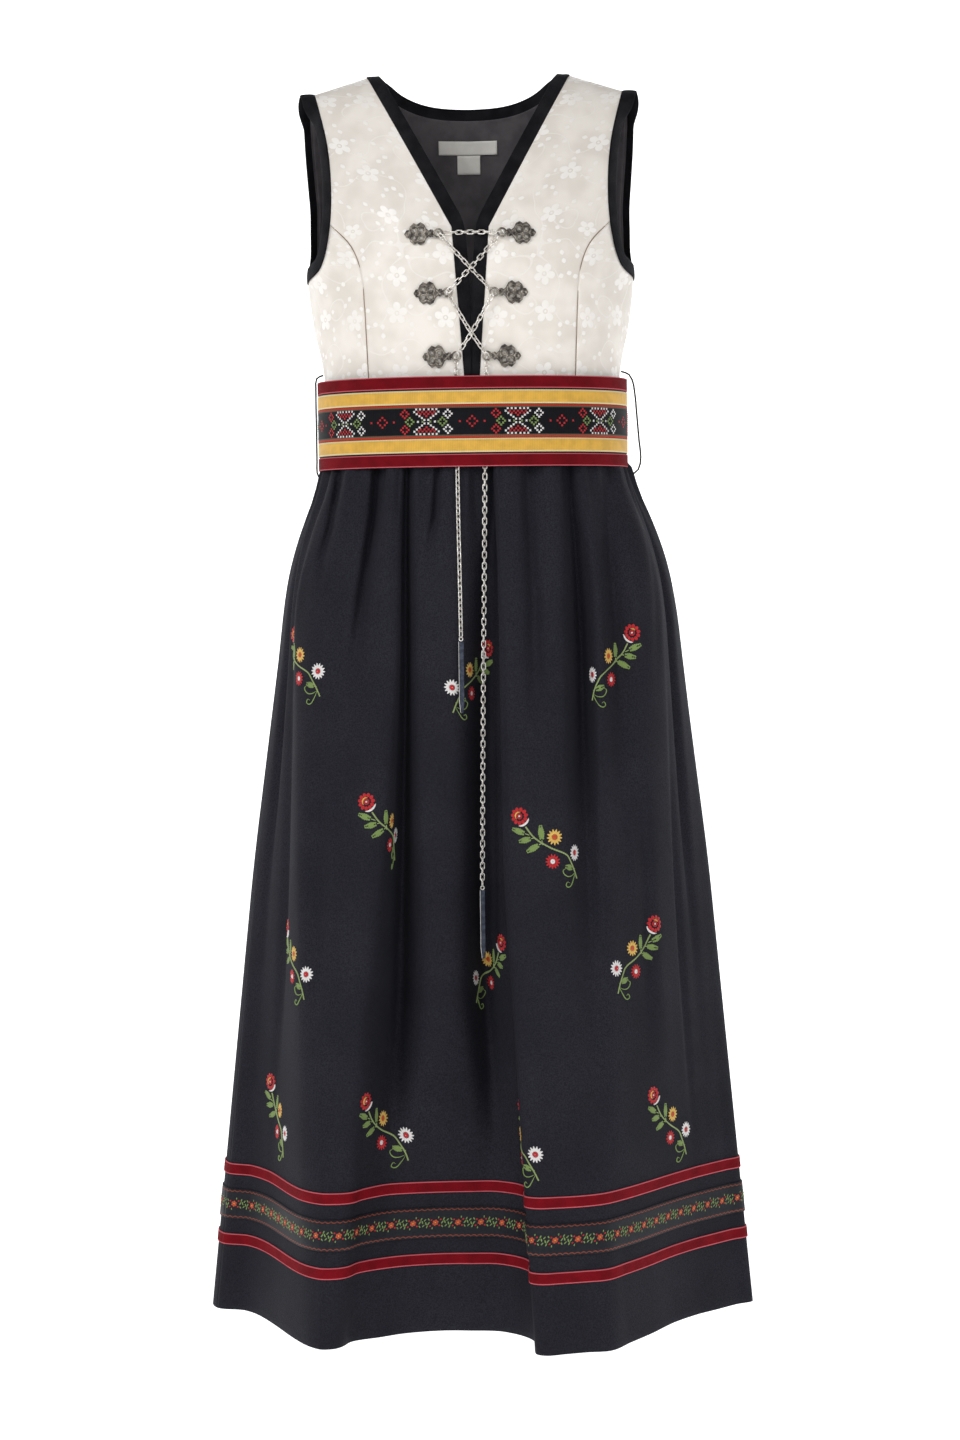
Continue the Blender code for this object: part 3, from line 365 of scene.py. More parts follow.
# One sprig, in mm about its rose: stem, leaves from root to tip, daisies and tendrils
SPRIG_STEM = (
    (4.9, -9.2), (10.3, -17.2), (16.1, -22.4), (25.3, -28.2), (37.9, -34.5), (42.5, -41.4),
    (46.6, -48.9), (49.7, -56.3),
)
SPRIG_LEAVES = (
    ((5.0, -15.5), (-6.6, -11.0)), ((9.8, -19.5), (-1.1, -22.4)), ((16.0, -24.7), (5.2, -31.6)),
    ((17.8, -21.8), (16.7, -7.5)), ((45.0, -47.0), (36.0, -44.5)),
)
SPRIG_DAISIES = (
    (27.9, -18.5, 15.5, YELLOW, ORANGE, 13), (25.9, -39.8, 14.5, RED, WHITE, 13),
    (48.4, -33.6, 16.0, WHITE, RED, 14),
)
SPRIG_CURLS = (
    ((47.0, -51.0), (42.0, -53.5), (37.0, -53.0), (34.0, -48.5), (37.0, -46.0)),
    ((47.5, -51.0), (44.5, -57.0), (40.5, -62.5), (36.5, -62.0), (37.5, -58.5), (40.0, -59.5)),
)
# Sprigs: face, x and height of the rose, hand (1 as charted, -1 mirrored) and lean in degrees;
# a last number shifts it along the cloth, so that its rose is tucked into a fold
SPRIGS = (
    (FRONT, -144, -502, 1, 2, -54), (FRONT, 11, -516, -1, 0), (FRONT, 139, -503, -1, -4),
    (FRONT, -101, -650, 1, 0), (FRONT, 35, -663, 1, 0),
    (FRONT, -176, -768, 1, -4), (FRONT, 18, -782, -1, 0), (FRONT, 160, -766, -1, -2),
    (FRONT, -196, -915, 1, -8), (FRONT, -102, -918, 1, -3), (FRONT, 41, -926, 1, 0, -52),
    (FRONT, 156, -921, 1, -7),
    (BACK, -128, -508, 1, 0), (BACK, 4, -500, -1, 2), (BACK, 124, -510, -1, 0),
    (BACK, -66, -648, 1, 3), (BACK, 72, -660, 1, -2),
    (BACK, -160, -772, -1, 0), (BACK, -10, -780, 1, 3), (BACK, 146, -768, 1, -3),
    (BACK, -92, -910, 1, 2), (BACK, 60, -916, -1, 0), (BACK, 184, -908, -1, 2), (BACK, -196, -905, 1, 0),
)
# Belt's counted stitches, in steps of the count from the middle of a heart or a diamond
BELT_REPEAT = 82.0
HEART_CLEAR = 0.026
DOTS_CLEAR = 0.014
HEART_AT = 40.5
COUNT_STEP = 1.75
CROSS = 3.4
CROSS_WIDE = 1.5
HEART_STITCHES = (
    (1.0, 0.9, WHITE), (2.3, 1.9, WHITE), (3.6, 2.9, WHITE), (5.0, 3.9, WHITE), (6.3, 5.0, WHITE),
    (5.2, 6.3, WHITE), (3.2, 6.3, WHITE), (1.2, 6.3, WHITE), (4.4, 0.0, WHITE), (2.0, 0.0, LEAF),
    (0.0, 5.0, RED), (2.05, 5.0, RED), (4.1, 5.0, RED), (1.05, 3.9, RED), (3.1, 3.9, RED), (0.0, 2.8, RED),
)
SIDE_DIAMONDS = (
    (-8.7, 0.0, LEAF), (8.2, 0.0, LEAF), (-11.3, 4.0, RED), (-11.3, -4.0, RED), (11.0, 3.9, WHITE),
    (11.0, -3.9, WHITE),
)
DIAMOND = (
    (2.0, 0.0), (0.0, 2.0), (-2.0, 0.0), (0.0, -2.0), (1.0, 1.0), (-1.0, 1.0), (1.0, -1.0), (-1.0, -1.0),
)
BETWEEN_DOTS = tuple((1.25 * x, 1.25 * y) for x, y in DIAMOND) + ((6.3, 0.0), (-6.3, 0.0))
# Woven hem ribbon: one repeat of its small flowers
HEM_REPEAT = 20.7
HEM_PETALS = 6
HEM_PETAL_OUT = 1.8
# Buds and leaves beside the flower: x, height, turn, length and width, and thread
HEM_SPRAY = (
    (4.3, 2.9, 20, 2.4, 2.2, RED), (4.0, -2.6, 0, 2.4, 2.2, RED), (6.2, 0.4, 60, 4.6, 1.7, LEAF),
    (7.2, 3.4, 75, 4.2, 1.6, LEAF), (8.6, 0.6, 115, 4.6, 1.7, LEAF), (6.6, -3.2, 130, 3.8, 1.5, LEAF),
    (9.9, -2.6, 50, 4.0, 1.6, LEAF), (2.2, 4.9, 95, 3.0, 1.4, LEAF),
)


def clamp(value, low=0.0, high=1.0):
    return max(low, min(high, value))


def smooth_step(value):
    share = clamp(value)
    return share * share * (3 - 2 * share)


def bend(start, leave, end, arrive, share):
    """Point on a curve that leaves one point and arrives at another."""
    square, cube = share ** 2, share ** 3
    return ((2 * cube - 3 * square + 1) * start + (cube - 2 * square + share) * leave
            + (3 * square - 2 * cube) * end + (cube - square) * arrive)


def smooth_through(value, stops, levels):
    """Value on a smooth curve through the levels of a table."""
    last = len(stops) - 1

    def slope(index):
        before, after = max(index - 1, 0), min(index + 1, last)
        return (levels[after] - levels[before]) / (stops[after] - stops[before])

    start = int(clamp(bisect_right(stops, value) - 1, 0, last - 1))
    width = stops[start + 1] - stops[start]
    share = clamp((value - stops[start]) / width)
    return bend(levels[start], width * slope(start), levels[start + 1], width * slope(start + 1), share)


def column(table, index):
    return [row[index] for row in table]


def between(start, end, share):
    return start + (end - start) * share


def read(table, place, index=1):
    """Value on a smooth curve through a column of a table, whose first column is the place."""
    return smooth_through(place, column(table, 0), column(table, index))


def bend_through(before, start, end, after, steps):
    """Points on a smooth curve from one point of a route to the next."""
    span = (end - start).length
    leave, arrive = (end - before).normalized() * span, (after - start).normalized() * span
    return [bend(start, leave, end, arrive, step / steps) for step in range(steps)]


def smooth_route(points, steps):
    """Points on a smooth curve through a route's own points, that many to each stretch."""
    points = [Vector(point) for point in points]
    last = len(points) - 1
    fine = []
    for index in range(last):
        fine += bend_through(points[max(index - 1, 0)], points[index], points[index + 1],
                             points[min(index + 2, last)], steps)
    return fine + [points[-1]]


def body_half(z):
    return read(BODY_WIDTH, z)


def shoulder_height(x):
    """Height of the shoulder seam, which slopes outwards."""
    return NECK_Z - (x - NECK_X) * SHOULDER_FALL


def drop_below_shoulder(x, z):
    return shoulder_height(abs(x)) * (1 - smooth_step(-z / SHOULDER_FADE)) - z


def body_angle(x, z):
    """Angle round the body's section, 0 in the middle and a quarter turn at the side."""
    share = clamp(abs(x) / body_half(z)) ** (ROUNDNESS / 2)
    return math.copysign(math.asin(share), x)


def body_point(face, angle, z, inset=0.0):
    """Point of the bodice, moved in from its outer surface."""
    power = 2 / ROUNDNESS
    sine, cosine = abs(math.sin(angle)) ** power, abs(math.cos(angle)) ** power
    drop = max(drop_below_shoulder(math.copysign(body_half(z) * sine, angle), z), 0.0)
    depth = read(BODY_DEPTH, drop, 1 if face == FRONT else 2)
    ridge = 1 - smooth_step(drop / RIDGE_DROP)
    return Vector((
        math.copysign((body_half(z) - inset * (1 - ridge)) * sine, angle),
        face * max(depth - inset, 0.0) * cosine,
        z - inset * ridge,
    ))


def front_point(x, z, lift):
    """Point in front of the bodice, that far off its cloth."""
    return body_point(FRONT, body_angle(x, z), z) + Vector((0.0, -lift, 0.0))


def patch(low, high, left, right, columns, rows):
    """Angle and height over a panel that four edges bound."""
    def at(across, along):
        u, v = across / columns, along / rows
        edges = [(1 - v) * a + v * b + (1 - u) * c + u * d
                 for a, b, c, d in zip(low(across), high(across), left(along), right(along))]
        corners = [(1 - u) * (1 - v) * a + u * (1 - v) * b + (1 - u) * v * c + u * v * d
                   for a, b, c, d in zip(low(0), low(columns), high(0), high(columns))]
        return edges[0] - corners[0], edges[1] - corners[1]
    return at


def armhole_station(index, face, side):
    """Angle and height of a place on the armhole seam, from the underarm up."""
    stations = range(len(ARMHOLE))
    z = smooth_through(index, stations, column(ARMHOLE, 0))
    x = smooth_through(index, stations, column(ARMHOLE, 1 if face == FRONT else 2))
    return body_angle(side * min(x, body_half(z)), z), z


def bust_seam(row, side):
    z = between(WAIST_Z, BUST_SEAM[-1][0], row / PRINCESS_ROWS)
    return body_angle(side * read(BUST_SEAM, z), z), z


def front_edge(row, side):
    """Cream cloth's edge up the middle and along the neck, by panel rows."""
    if row <= PRINCESS_ROWS:
        z = between(WAIST_Z, V_BOTTOM_Z, row / PRINCESS_ROWS)
        x = read(FRONT_EDGE, z)
    else:
        share = 1 - (1 - (row - PRINCESS_ROWS) / (FRONT_ROWS - PRINCESS_ROWS)) ** NECK_EASE
        x = between(FRONT_EDGE[-1][1], NECK_EDGE_X, share)
        z = between(V_BOTTOM_Z, shoulder_height(NECK_EDGE_X), share)
    return body_angle(side * x, z), z


def shoulder_seam(share, side):
    """Angle and height on the shoulder seam, from the neck to its tip."""
    x = between(NECK_EDGE_X, ARMHOLE[-1][1], share)
    return body_angle(side * x, shoulder_height(x)), shoulder_height(x)


def side_seam(share, side):
    return side * QUARTER, between(WAIST_Z, ARMHOLE[0][0], share)


def waist_line(start, end, columns):
    return lambda across: (between(start, end, across / columns), WAIST_Z)


def front_shape(side):
    """Front panel between the middle edge, bust seam, armhole and shoulder."""
    def outer_edge(along):
        if along < PRINCESS_ROWS:
            return bust_seam(along, side)
        return armhole_station(along - PRINCESS_ROWS + ARMHOLE_JOIN, FRONT, side)

    waist = waist_line(front_edge(0, side)[0], outer_edge(0)[0], FRONT_COLUMNS)
    return patch(waist, lambda across: shoulder_seam(across / FRONT_COLUMNS, side),
                 lambda along: front_edge(along, side), outer_edge, FRONT_COLUMNS, FRONT_ROWS)


def side_shape(side):
    """Side panel between the bust seam, the side seam and the underarm."""
    return patch(waist_line(bust_seam(0, side)[0], side * QUARTER, SIDE_COLUMNS),
                 lambda across: armhole_station(ARMHOLE_JOIN - across, FRONT, side),
                 lambda along: bust_seam(along, side),
                 lambda along: side_seam(along / PRINCESS_ROWS, side), SIDE_COLUMNS, PRINCESS_ROWS)


def neck_back(share):
    """Angle and height along the back of the neck, -1 to 1 across it."""
    share = math.copysign(1 - (1 - abs(share)) ** NECK_EASE, share)
    z = between(NECK_BACK_Z, shoulder_height(NECK_EDGE_X), abs(share) ** 3)
    return body_angle(NECK_EDGE_X * share, z), z


def back_shape():
    """Whole back between the side seams, armholes, shoulders and neck."""
    def edge(side):
        return lambda along: (
            side_seam(along / BACK_LOW_ROWS, side) if along < BACK_LOW_ROWS
            else armhole_station(along - BACK_LOW_ROWS, BACK, side))

    def top(across):
        if across <= SHOULDER_COLUMNS:
            return shoulder_seam(1 - across / SHOULDER_COLUMNS, -1)
        if across >= BACK_COLUMNS - SHOULDER_COLUMNS:
            return shoulder_seam(1 - (BACK_COLUMNS - across) / SHOULDER_COLUMNS, 1)
        half = BACK_COLUMNS / 2
        return neck_back((across - half) / (half - SHOULDER_COLUMNS))

    return patch(waist_line(-QUARTER, QUARTER, BACK_COLUMNS), top, edge(-1), edge(1),
                 BACK_COLUMNS, BACK_ROWS)


def add_object(name, data):
    thing = bpy.data.objects.new(name, data)
    bpy.context.scene.collection.objects.link(thing)
    return thing


def to_mesh(bm, name):
    mesh = bpy.data.meshes.new(name)
    bm.to_mesh(mesh)
    bm.free()
    return mesh


def keep(bm, name, materials, nodes=(), smooth=True):
    """Turn a bmesh into a piece of the dress that rides on its one body."""
    mesh = to_mesh(bm, name)
    for item in materials:
        mesh.materials.append(FINISHES[item])
    if smooth:
        mesh.shade_smooth()
    thing = add_object(name, mesh)
    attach(thing, ROOT)
    if nodes:
        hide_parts(*nodes)
    return thing


def grid_points(bm, columns, rows):
    """Add a grid of faces, and give its points with their columns and rows."""
    made = bmesh.ops.create_grid(bm, x_segments=columns, y_segments=rows, size=0.5)["verts"]
    return [(vertex, round((vertex.co.x + 0.5) * columns), round((vertex.co.y + 0.5) * rows))
            for vertex in made]


def spread(columns, rows, surface):
    """Points of a surface given over columns and rows, as an array."""
    return np.array([[surface(across, along) for along in range(rows + 1)]
                     for across in range(columns + 1)], float)


def lengths(points, axis):
    """Length of cloth from the first column or row to each point."""
    steps = np.linalg.norm(np.diff(points, axis=axis), axis=2)
    start = np.zeros_like(np.take(steps, [0], axis=axis))
    return np.concatenate([start, np.cumsum(steps, axis=axis)], axis=axis)


def sheet_mesh(points, v_start=0.0, outwards=1):
    """Grid of faces over an array of points, with its cloth lengths as a UV map."""
    u, v = lengths(points, 0), lengths(points, 1) + v_start
    bm = bmesh.new()
    layer = bm.loops.layers.uv.new("cloth")
    place = {}
    for vertex, across, along in grid_points(bm, points.shape[0] - 1, points.shape[1] - 1):
        place[vertex] = (u[across, along], v[across, along])
        vertex.co = points[across, along]
    for face in bm.faces:
        for loop in face.loops:
            loop[layer].uv = place[loop.vert]
    bm.normal_update()
    facing = sum(face.normal.xy.dot(face.calc_center_median().xy) for face in bm.faces)
    if facing * outwards < 0:
        bmesh.ops.reverse_faces(bm, faces=bm.faces[:])
    return bm


def cut_size(points):
    """Length and width of a strip as it was cut, from its mean lengths."""
    return tuple(round(float(np.take(lengths(points, axis), -1, axis=axis).mean()), 4) for axis in (0, 1))


def sew(name, node, points, finish, thickness, size, state, under, lined=False, area=None, **grid):
    """Piece of cloth in the place of a solid, with its thickness towards the wearer; its cut is not kept."""
    piece = keep(sheet_mesh(points, **grid), name, [finish, "lining"] if lined else [finish], [node])
    solid = piece.modifiers.new("thickness", "SOLIDIFY")
    solid.thickness = thickness
    solid.offset = -1.0
    solid.use_even_offset = False
    solid.material_offset = solid.material_offset_rim = int(lined)
    size or cut_size(points)


def dye(red, green, blue):
    """Linear colour of a shade given as it looks on a screen, each from 0 to 255."""
    def linear(value):
        share = value / 255
        return share / 12.92 if share < 0.04045 else ((share + 0.055) / 1.055) ** 2.4
    return (linear(red), linear(green), linear(blue), 1.0)


def darken(shade, share):
    return tuple(part * share for part in shade[:3]) + (1.0,)


class Tree:
    """Node tree, with short ways to add what the effects and the materials are made of."""

    def __init__(self, tree):
        self.tree = tree

    def put(self, kind, feeds=(), **settings):
        """Add a node with its settings, and feed its sockets with values or other outputs."""
        made = self.tree.nodes.new(kind)
        for name, value in settings.items():
            setattr(made, name, value)
        for socket, value in dict(feeds).items():
            if isinstance(value, bpy.types.NodeSocket):
                self.tree.links.new(value, made.inputs[socket])
            else:
                made.inputs[socket].default_value = value
        return made

    def maths(self, operation, *values):
        return self.put("ShaderNodeMath", enumerate(values), operation=operation).outputs[0]

    def mask(self, value, low, high):
        """1 where a value is past its high limit, 0 before its low one, smooth between."""
        return self.put("ShaderNodeMapRange", {"Value": value, "From Min": low, "From Max": high},
                        interpolation_type="SMOOTHSTEP").outputs[0]

    def spread(self, value, start, end):
        """A value from 0 to 1, stretched over another range."""
        return self.put("ShaderNodeMapRange", {"Value": value, "To Min": start, "To Max": end}).outputs[0]

    def blend(self, share, first, second):
        return self.put("ShaderNodeMix", {0: share, 6: first, 7: second}, data_type="RGBA").outputs[2]

    def split(self, vector):
        return self.put("ShaderNodeSeparateXYZ", {0: vector}).outputs

    def own_place(self):
        return self.put("ShaderNodeTexCoord").outputs["Object"]

    def cloth_place(self, layer="cloth"):
        """Lengths across and along the cloth, in metres."""
        return self.put("ShaderNodeUVMap", uv_map=layer).outputs["UV"]

    def shared(self, name, **values):
        return self.put("ShaderNodeGroup", values, node_tree=EFFECTS[name]).outputs

    def grain(self, scale, detail=2.0):
        return self.shared("grain", Scale=scale, Detail=detail)["Value"]

    def threads(self, across, along):
        return self.shared("woven_threads", Across=across, Along=along)["Height"]

    def edge_lines(self, height, start, end):
        return self.shared("selvedge", Height=height, From=start, To=end)["Mask"]


class Effect(Tree):
    """Shared effect: a node group with named inputs and outputs."""

    def __init__(self, name, outputs, **inputs):
        super().__init__(bpy.data.node_groups.new(name, "ShaderNodeTree"))
        new_socket = self.tree.interface.new_socket
        for socket, value in inputs.items():
            new_socket(socket, in_out="INPUT", socket_type="NodeSocketFloat").default_value = value
        for socket in outputs:
            new_socket(socket, in_out="OUTPUT", socket_type="NodeSocketFloat")
        self.given = self.put("NodeGroupInput").outputs
        EFFECTS[name] = self.tree

    def give(self, **results):
        self.put("NodeGroupOutput", results)

    def from_edge(self, v):
        """Distance from the nearer edge of a ribbon of the given height."""
        return self.maths("MINIMUM", v, self.maths("SUBTRACT", self.given["Height"], v))

    def cells(self, place, size, evenness):
        """Cells over the cloth, one motif each: distance from its middle and angle round it."""
        sized = self.put("ShaderNodeVectorMath", {0: place, "Scale": 1 / size}, operation="SCALE").outputs[0]
        found = self.put("ShaderNodeTexVoronoi", {"Vector": sized, "Scale": 1.0, "Randomness": 1 - evenness},
                         voronoi_dimensions="2D").outputs
        shift = self.put("ShaderNodeVectorMath", {0: sized, 1: found["Position"]},
                         operation="SUBTRACT").outputs[0]
        x, y, _ = self.split(shift)
        pick = self.put("ShaderNodeSeparateColor", {0: found["Color"]}).outputs[0]
        distance = self.put("ShaderNodeVectorMath", {0: shift}, operation="LENGTH").outputs["Value"]
        return distance, self.maths("MULTIPLY_ADD", pick, math.tau, self.maths("ARCTAN2", y, x))


class Finish(Tree):
    """Material of the dress, its shader and its node tree."""

    def __init__(self, name, roughness, metallic=0.0, specular=0.5, sheen=0.0, sheen_tint=None):
        FINISHES[name] = bpy.data.materials.new(name)
        FINISHES[name].use_nodes = True
        super().__init__(FINISHES[name].node_tree)
        self.inputs = self.tree.nodes["Principled BSDF"].inputs
        constants = {"Roughness": roughness, "Metallic": metallic, "Specular IOR Level": specular,
                     "Sheen Weight": sheen, "Sheen Roughness": 0.4}
        for socket, value in constants.items():
            self.inputs[socket].default_value = value
        if sheen_tint:
            self.inputs["Sheen Tint"].default_value = sheen_tint

    def feed(self, socket, value):
        self.tree.links.new(value, self.inputs[socket])

    def paint(self, colour):
        self.feed("Base Color", colour)

    def raise_by(self, height, depth, strength):
        """Use a height in metres as bump."""
        bump = self.put("ShaderNodeBump", {"Height": height, "Distance": depth, "Strength": strength})
        self.feed("Normal", bump.outputs["Normal"])


def make_grain():
    """Uneven tone, by a noise in the object's own space."""
    tree = Effect("grain", ("Value",), Scale=100.0, Detail=2.0)
    tone = tree.put("ShaderNodeTexNoise", {"Vector": tree.own_place(), "Scale": tree.given["Scale"],
                                           "Detail": tree.given["Detail"]}).outputs["Fac"]
    tree.give(Value=tree.mask(tone, 0.3, 0.7))


def make_threads():
    """Height of plain-woven threads, or of ribs where one period is long."""
    tree = Effect("woven_threads", ("Height",), Across=0.001, Along=0.001)
    u, v, _ = tree.split(tree.cloth_place())
    waves = []
    for value, period in ((u, tree.given["Across"]), (v, tree.given["Along"])):
        turn = tree.maths("DIVIDE", tree.maths("MULTIPLY", value, math.tau), period)
        waves.append(tree.maths("SINE", turn))
    tree.give(Height=tree.maths("MULTIPLY_ADD", tree.maths("ADD", *waves), 0.25, 0.5))


def make_selvedge():
    """Mask of a line along each of the two edges of a ribbon of a given height."""
    tree = Effect("selvedge", ("Mask",), Height=0.01, From=0.0, To=0.001)
    near = tree.from_edge(tree.split(tree.cloth_place())[1])
    inner = tree.maths("GREATER_THAN", near, tree.given["From"])
    outer = tree.maths("LESS_THAN", near, tree.given["To"])
    tree.give(Mask=tree.maths("MULTIPLY", inner, outer))


def make_stitch_run():
    """Height of the single threads of satin stitches."""
    tree = Effect("stitch_run", ("Height",), Thread=0.0005)
    v = tree.split(tree.cloth_place("stitch"))[1]
    turn = tree.maths("DIVIDE", tree.maths("MULTIPLY", v, math.pi), tree.given["Thread"])
    tree.give(Height=tree.maths("ABSOLUTE", tree.maths("SINE", turn)))


def make_brocade_flowers():
    """Satin figures of the brocade: five-petalled flowers, leaf pairs and thin stems."""
    tree = Effect("brocade_flowers", ("Satin", "Stem"))
    do, mask, place = tree.maths, tree.mask, tree.cloth_place()
    distance, angle = tree.cells(place, BROCADE_FLOWER, 0.45)
    lobe = do("ABSOLUTE", do("COSINE", do("MULTIPLY", angle, 2.5)))
    reach = do("MULTIPLY_ADD", do("POWER", lobe, 0.55), 0.15, 0.085)
    petals = mask(do("SUBTRACT", reach, distance), 0.0, 0.012)
    petals = do("MULTIPLY", petals, mask(distance, 0.045, 0.06))
    petals = do("MAXIMUM", petals, mask(do("SUBTRACT", 0.032, distance), 0.0, 0.01))
    far, turn = tree.cells(place, BROCADE_LEAF, 0.35)
    x = do("MULTIPLY", far, do("COSINE", turn))
    y = do("ABSOLUTE", do("MULTIPLY", far, do("SINE", turn)))
    x_far = do("SUBTRACT", do("ABSOLUTE", x), 0.20)
    lens = do("MULTIPLY_ADD", do("MULTIPLY", x_far, x_far), -6.0, 0.115)
    leaves = mask(do("SUBTRACT", lens, y), 0.0, 0.02)
    leaves = do("MULTIPLY", leaves, mask(distance, 0.27, 0.29))
    vine = tree.put("ShaderNodeTexNoise", {"Vector": place, "Scale": 30.0, "Detail": 0.0},
                    noise_dimensions="2D").outputs["Fac"]
    near = do("ABSOLUTE", do("SUBTRACT", vine, 0.5))
    stem = do("SUBTRACT", 1.0, mask(near, 0.008, 0.018))
    tree.give(Satin=do("MAXIMUM", petals, leaves), Stem=do("MULTIPLY", stem, mask(distance, 0.20, 0.24)))


def make_scallops():
    """Mask of the scalloped lines near both edges of the woven ribbon."""
    tree = Effect("scallops", ("Mask",), Height=0.028, Repeat=0.0054)
    u, v, _ = tree.split(tree.cloth_place())
    arch = tree.maths("ABSOLUTE", tree.maths("SINE", tree.maths(
        "DIVIDE", tree.maths("MULTIPLY", u, math.pi), tree.given["Repeat"])))
    centre = tree.maths("MULTIPLY_ADD", arch, 0.0013, 0.0011)
    away = tree.maths("ABSOLUTE", tree.maths("SUBTRACT", tree.from_edge(v), centre))
    tree.give(Mask=tree.maths("LESS_THAN", away, 0.00045))


def brocade_finish():
    cloth = Finish("brocade", 0.4, specular=0.42, sheen=0.05)
    figure = cloth.shared("brocade_flowers")
    satin = cloth.maths("MAXIMUM", figure["Satin"], cloth.maths("MULTIPLY", figure["Stem"], 0.45))
    tone = cloth.grain(38.0)
    ground = cloth.blend(tone, dye(222, 215, 206), dye(236, 230, 222))
    figured = cloth.blend(tone, dye(243, 239, 234), dye(239, 234, 228))
    cloth.paint(cloth.blend(satin, ground, figured))
    cloth.feed("Roughness", cloth.spread(satin, 0.52, 0.30))
    cloth.raise_by(cloth.maths("MULTIPLY_ADD", cloth.threads(0.0009, 0.0011), 0.25, satin), 0.00018, 0.8)


def pile_finish(name, deep, light, sheen, tint, edge=None):
    """Velvet: a dense pile that catches a little light, with woven edges where it is a ribbon."""
    cloth = Finish(name, 0.85, specular=0.12, sheen=sheen, sheen_tint=tint)
    colour = cloth.blend(cloth.grain(70.0, 3.0), deep, light)
    if edge:
        height, width, shade = edge
        colour = cloth.blend(cloth.edge_lines(height, -1.0, width), colour, shade)
    cloth.paint(colour)
    cloth.raise_by(cloth.grain(1500.0), 0.0004, 0.6)


def wool_finish():
    """Fine dark wool twill with a few lighter fibres."""
    cloth = Finish("wool", 0.8, specular=0.10, sheen=0.05, sheen_tint=dye(150, 152, 166))
    fibre = cloth.grain(900.0, 3.0)
    colour = cloth.blend(fibre, dye(27, 27, 33), dye(44, 44, 52))
    cloth.paint(cloth.blend(cloth.maths("MULTIPLY", cloth.grain(14.0), 0.35), colour, dye(22, 23, 29)))
    twill = cloth.threads(0.0011, 0.0011)
    cloth.raise_by(cloth.maths("MULTIPLY_ADD", fibre, 0.6, twill), 0.00025, 0.7)


def ribbed_finish(name, shade, rib, edges, roughness=0.55, gloss=0.35):
    """Ribbed or plain-woven stripe with lines along its edges: height, then from, to, colour."""
    cloth = Finish(name, roughness, specular=gloss, sheen=0.05)
    colour = cloth.blend(cloth.grain(120.0, 3.0), darken(shade, 0.82), shade)
    for height, begin, finish, line_shade in edges:
        colour = cloth.blend(cloth.edge_lines(height, begin, finish), colour, line_shade)
    ribs = cloth.threads(rib, 0.0008)
    # Darker down between the ribs, by the rib height: painted shade in the grooves
    groove_shade = cloth.maths("MULTIPLY", cloth.maths("SUBTRACT", 1.0, ribs), 0.35)
    cloth.paint(cloth.blend(groove_shade, colour, darken(shade, 0.35)))
    cloth.raise_by(ribs, 0.0003, 0.8)


def hem_weave_finish():
    cloth = Finish("woven_ribbon", 0.6, specular=0.25, sheen=0.04)
    colour = cloth.blend(cloth.grain(600.0), dye(15, 17, 24), dye(24, 27, 36))
    cloth.paint(cloth.blend(cloth.shared("scallops")["Mask"], colour, dye(128, 62, 46)))
    cloth.raise_by(cloth.threads(0.0009, 0.0007), 0.0002, 0.7)


def thread_finish(name, shade):
    """Glossy embroidery yarn in satin stitch."""
    yarn = Finish(name, 0.5, specular=0.35, sheen=0.06)
    run = yarn.shared("stitch_run", Thread=0.0006)["Height"]
    # Darker where one thread meets the next, by the thread height: painted shade between the threads
    yarn.paint(yarn.blend(yarn.mask(run, 0.05, 0.7), darken(shade, 0.62), shade))
    yarn.raise_by(run, 0.0003, 0.9)


def metal_finish(name, bright, dark, roughness, worn, metallic=1.0):
    """Silver or steel with a duller tone in patches."""
    metal = Finish(name, roughness, metallic=metallic)
    tone = metal.grain(260.0, 3.0)
    metal.paint(metal.blend(metal.mask(tone, *worn), dark, bright))
    metal.feed("Roughness", metal.spread(tone, roughness + 0.18, roughness))
    metal.raise_by(metal.grain(900.0, 3.0), 0.0002, 0.4)


def twill_finish(name, light, deep, roughness, period):
    """Plain lining, tape or cord with a fine diagonal."""
    cloth = Finish(name, roughness, specular=0.3)
    cloth.paint(cloth.blend(cloth.grain(60.0, 3.0), deep, light))
    cloth.raise_by(cloth.threads(period, period * 1.3), 0.00015, 0.7)


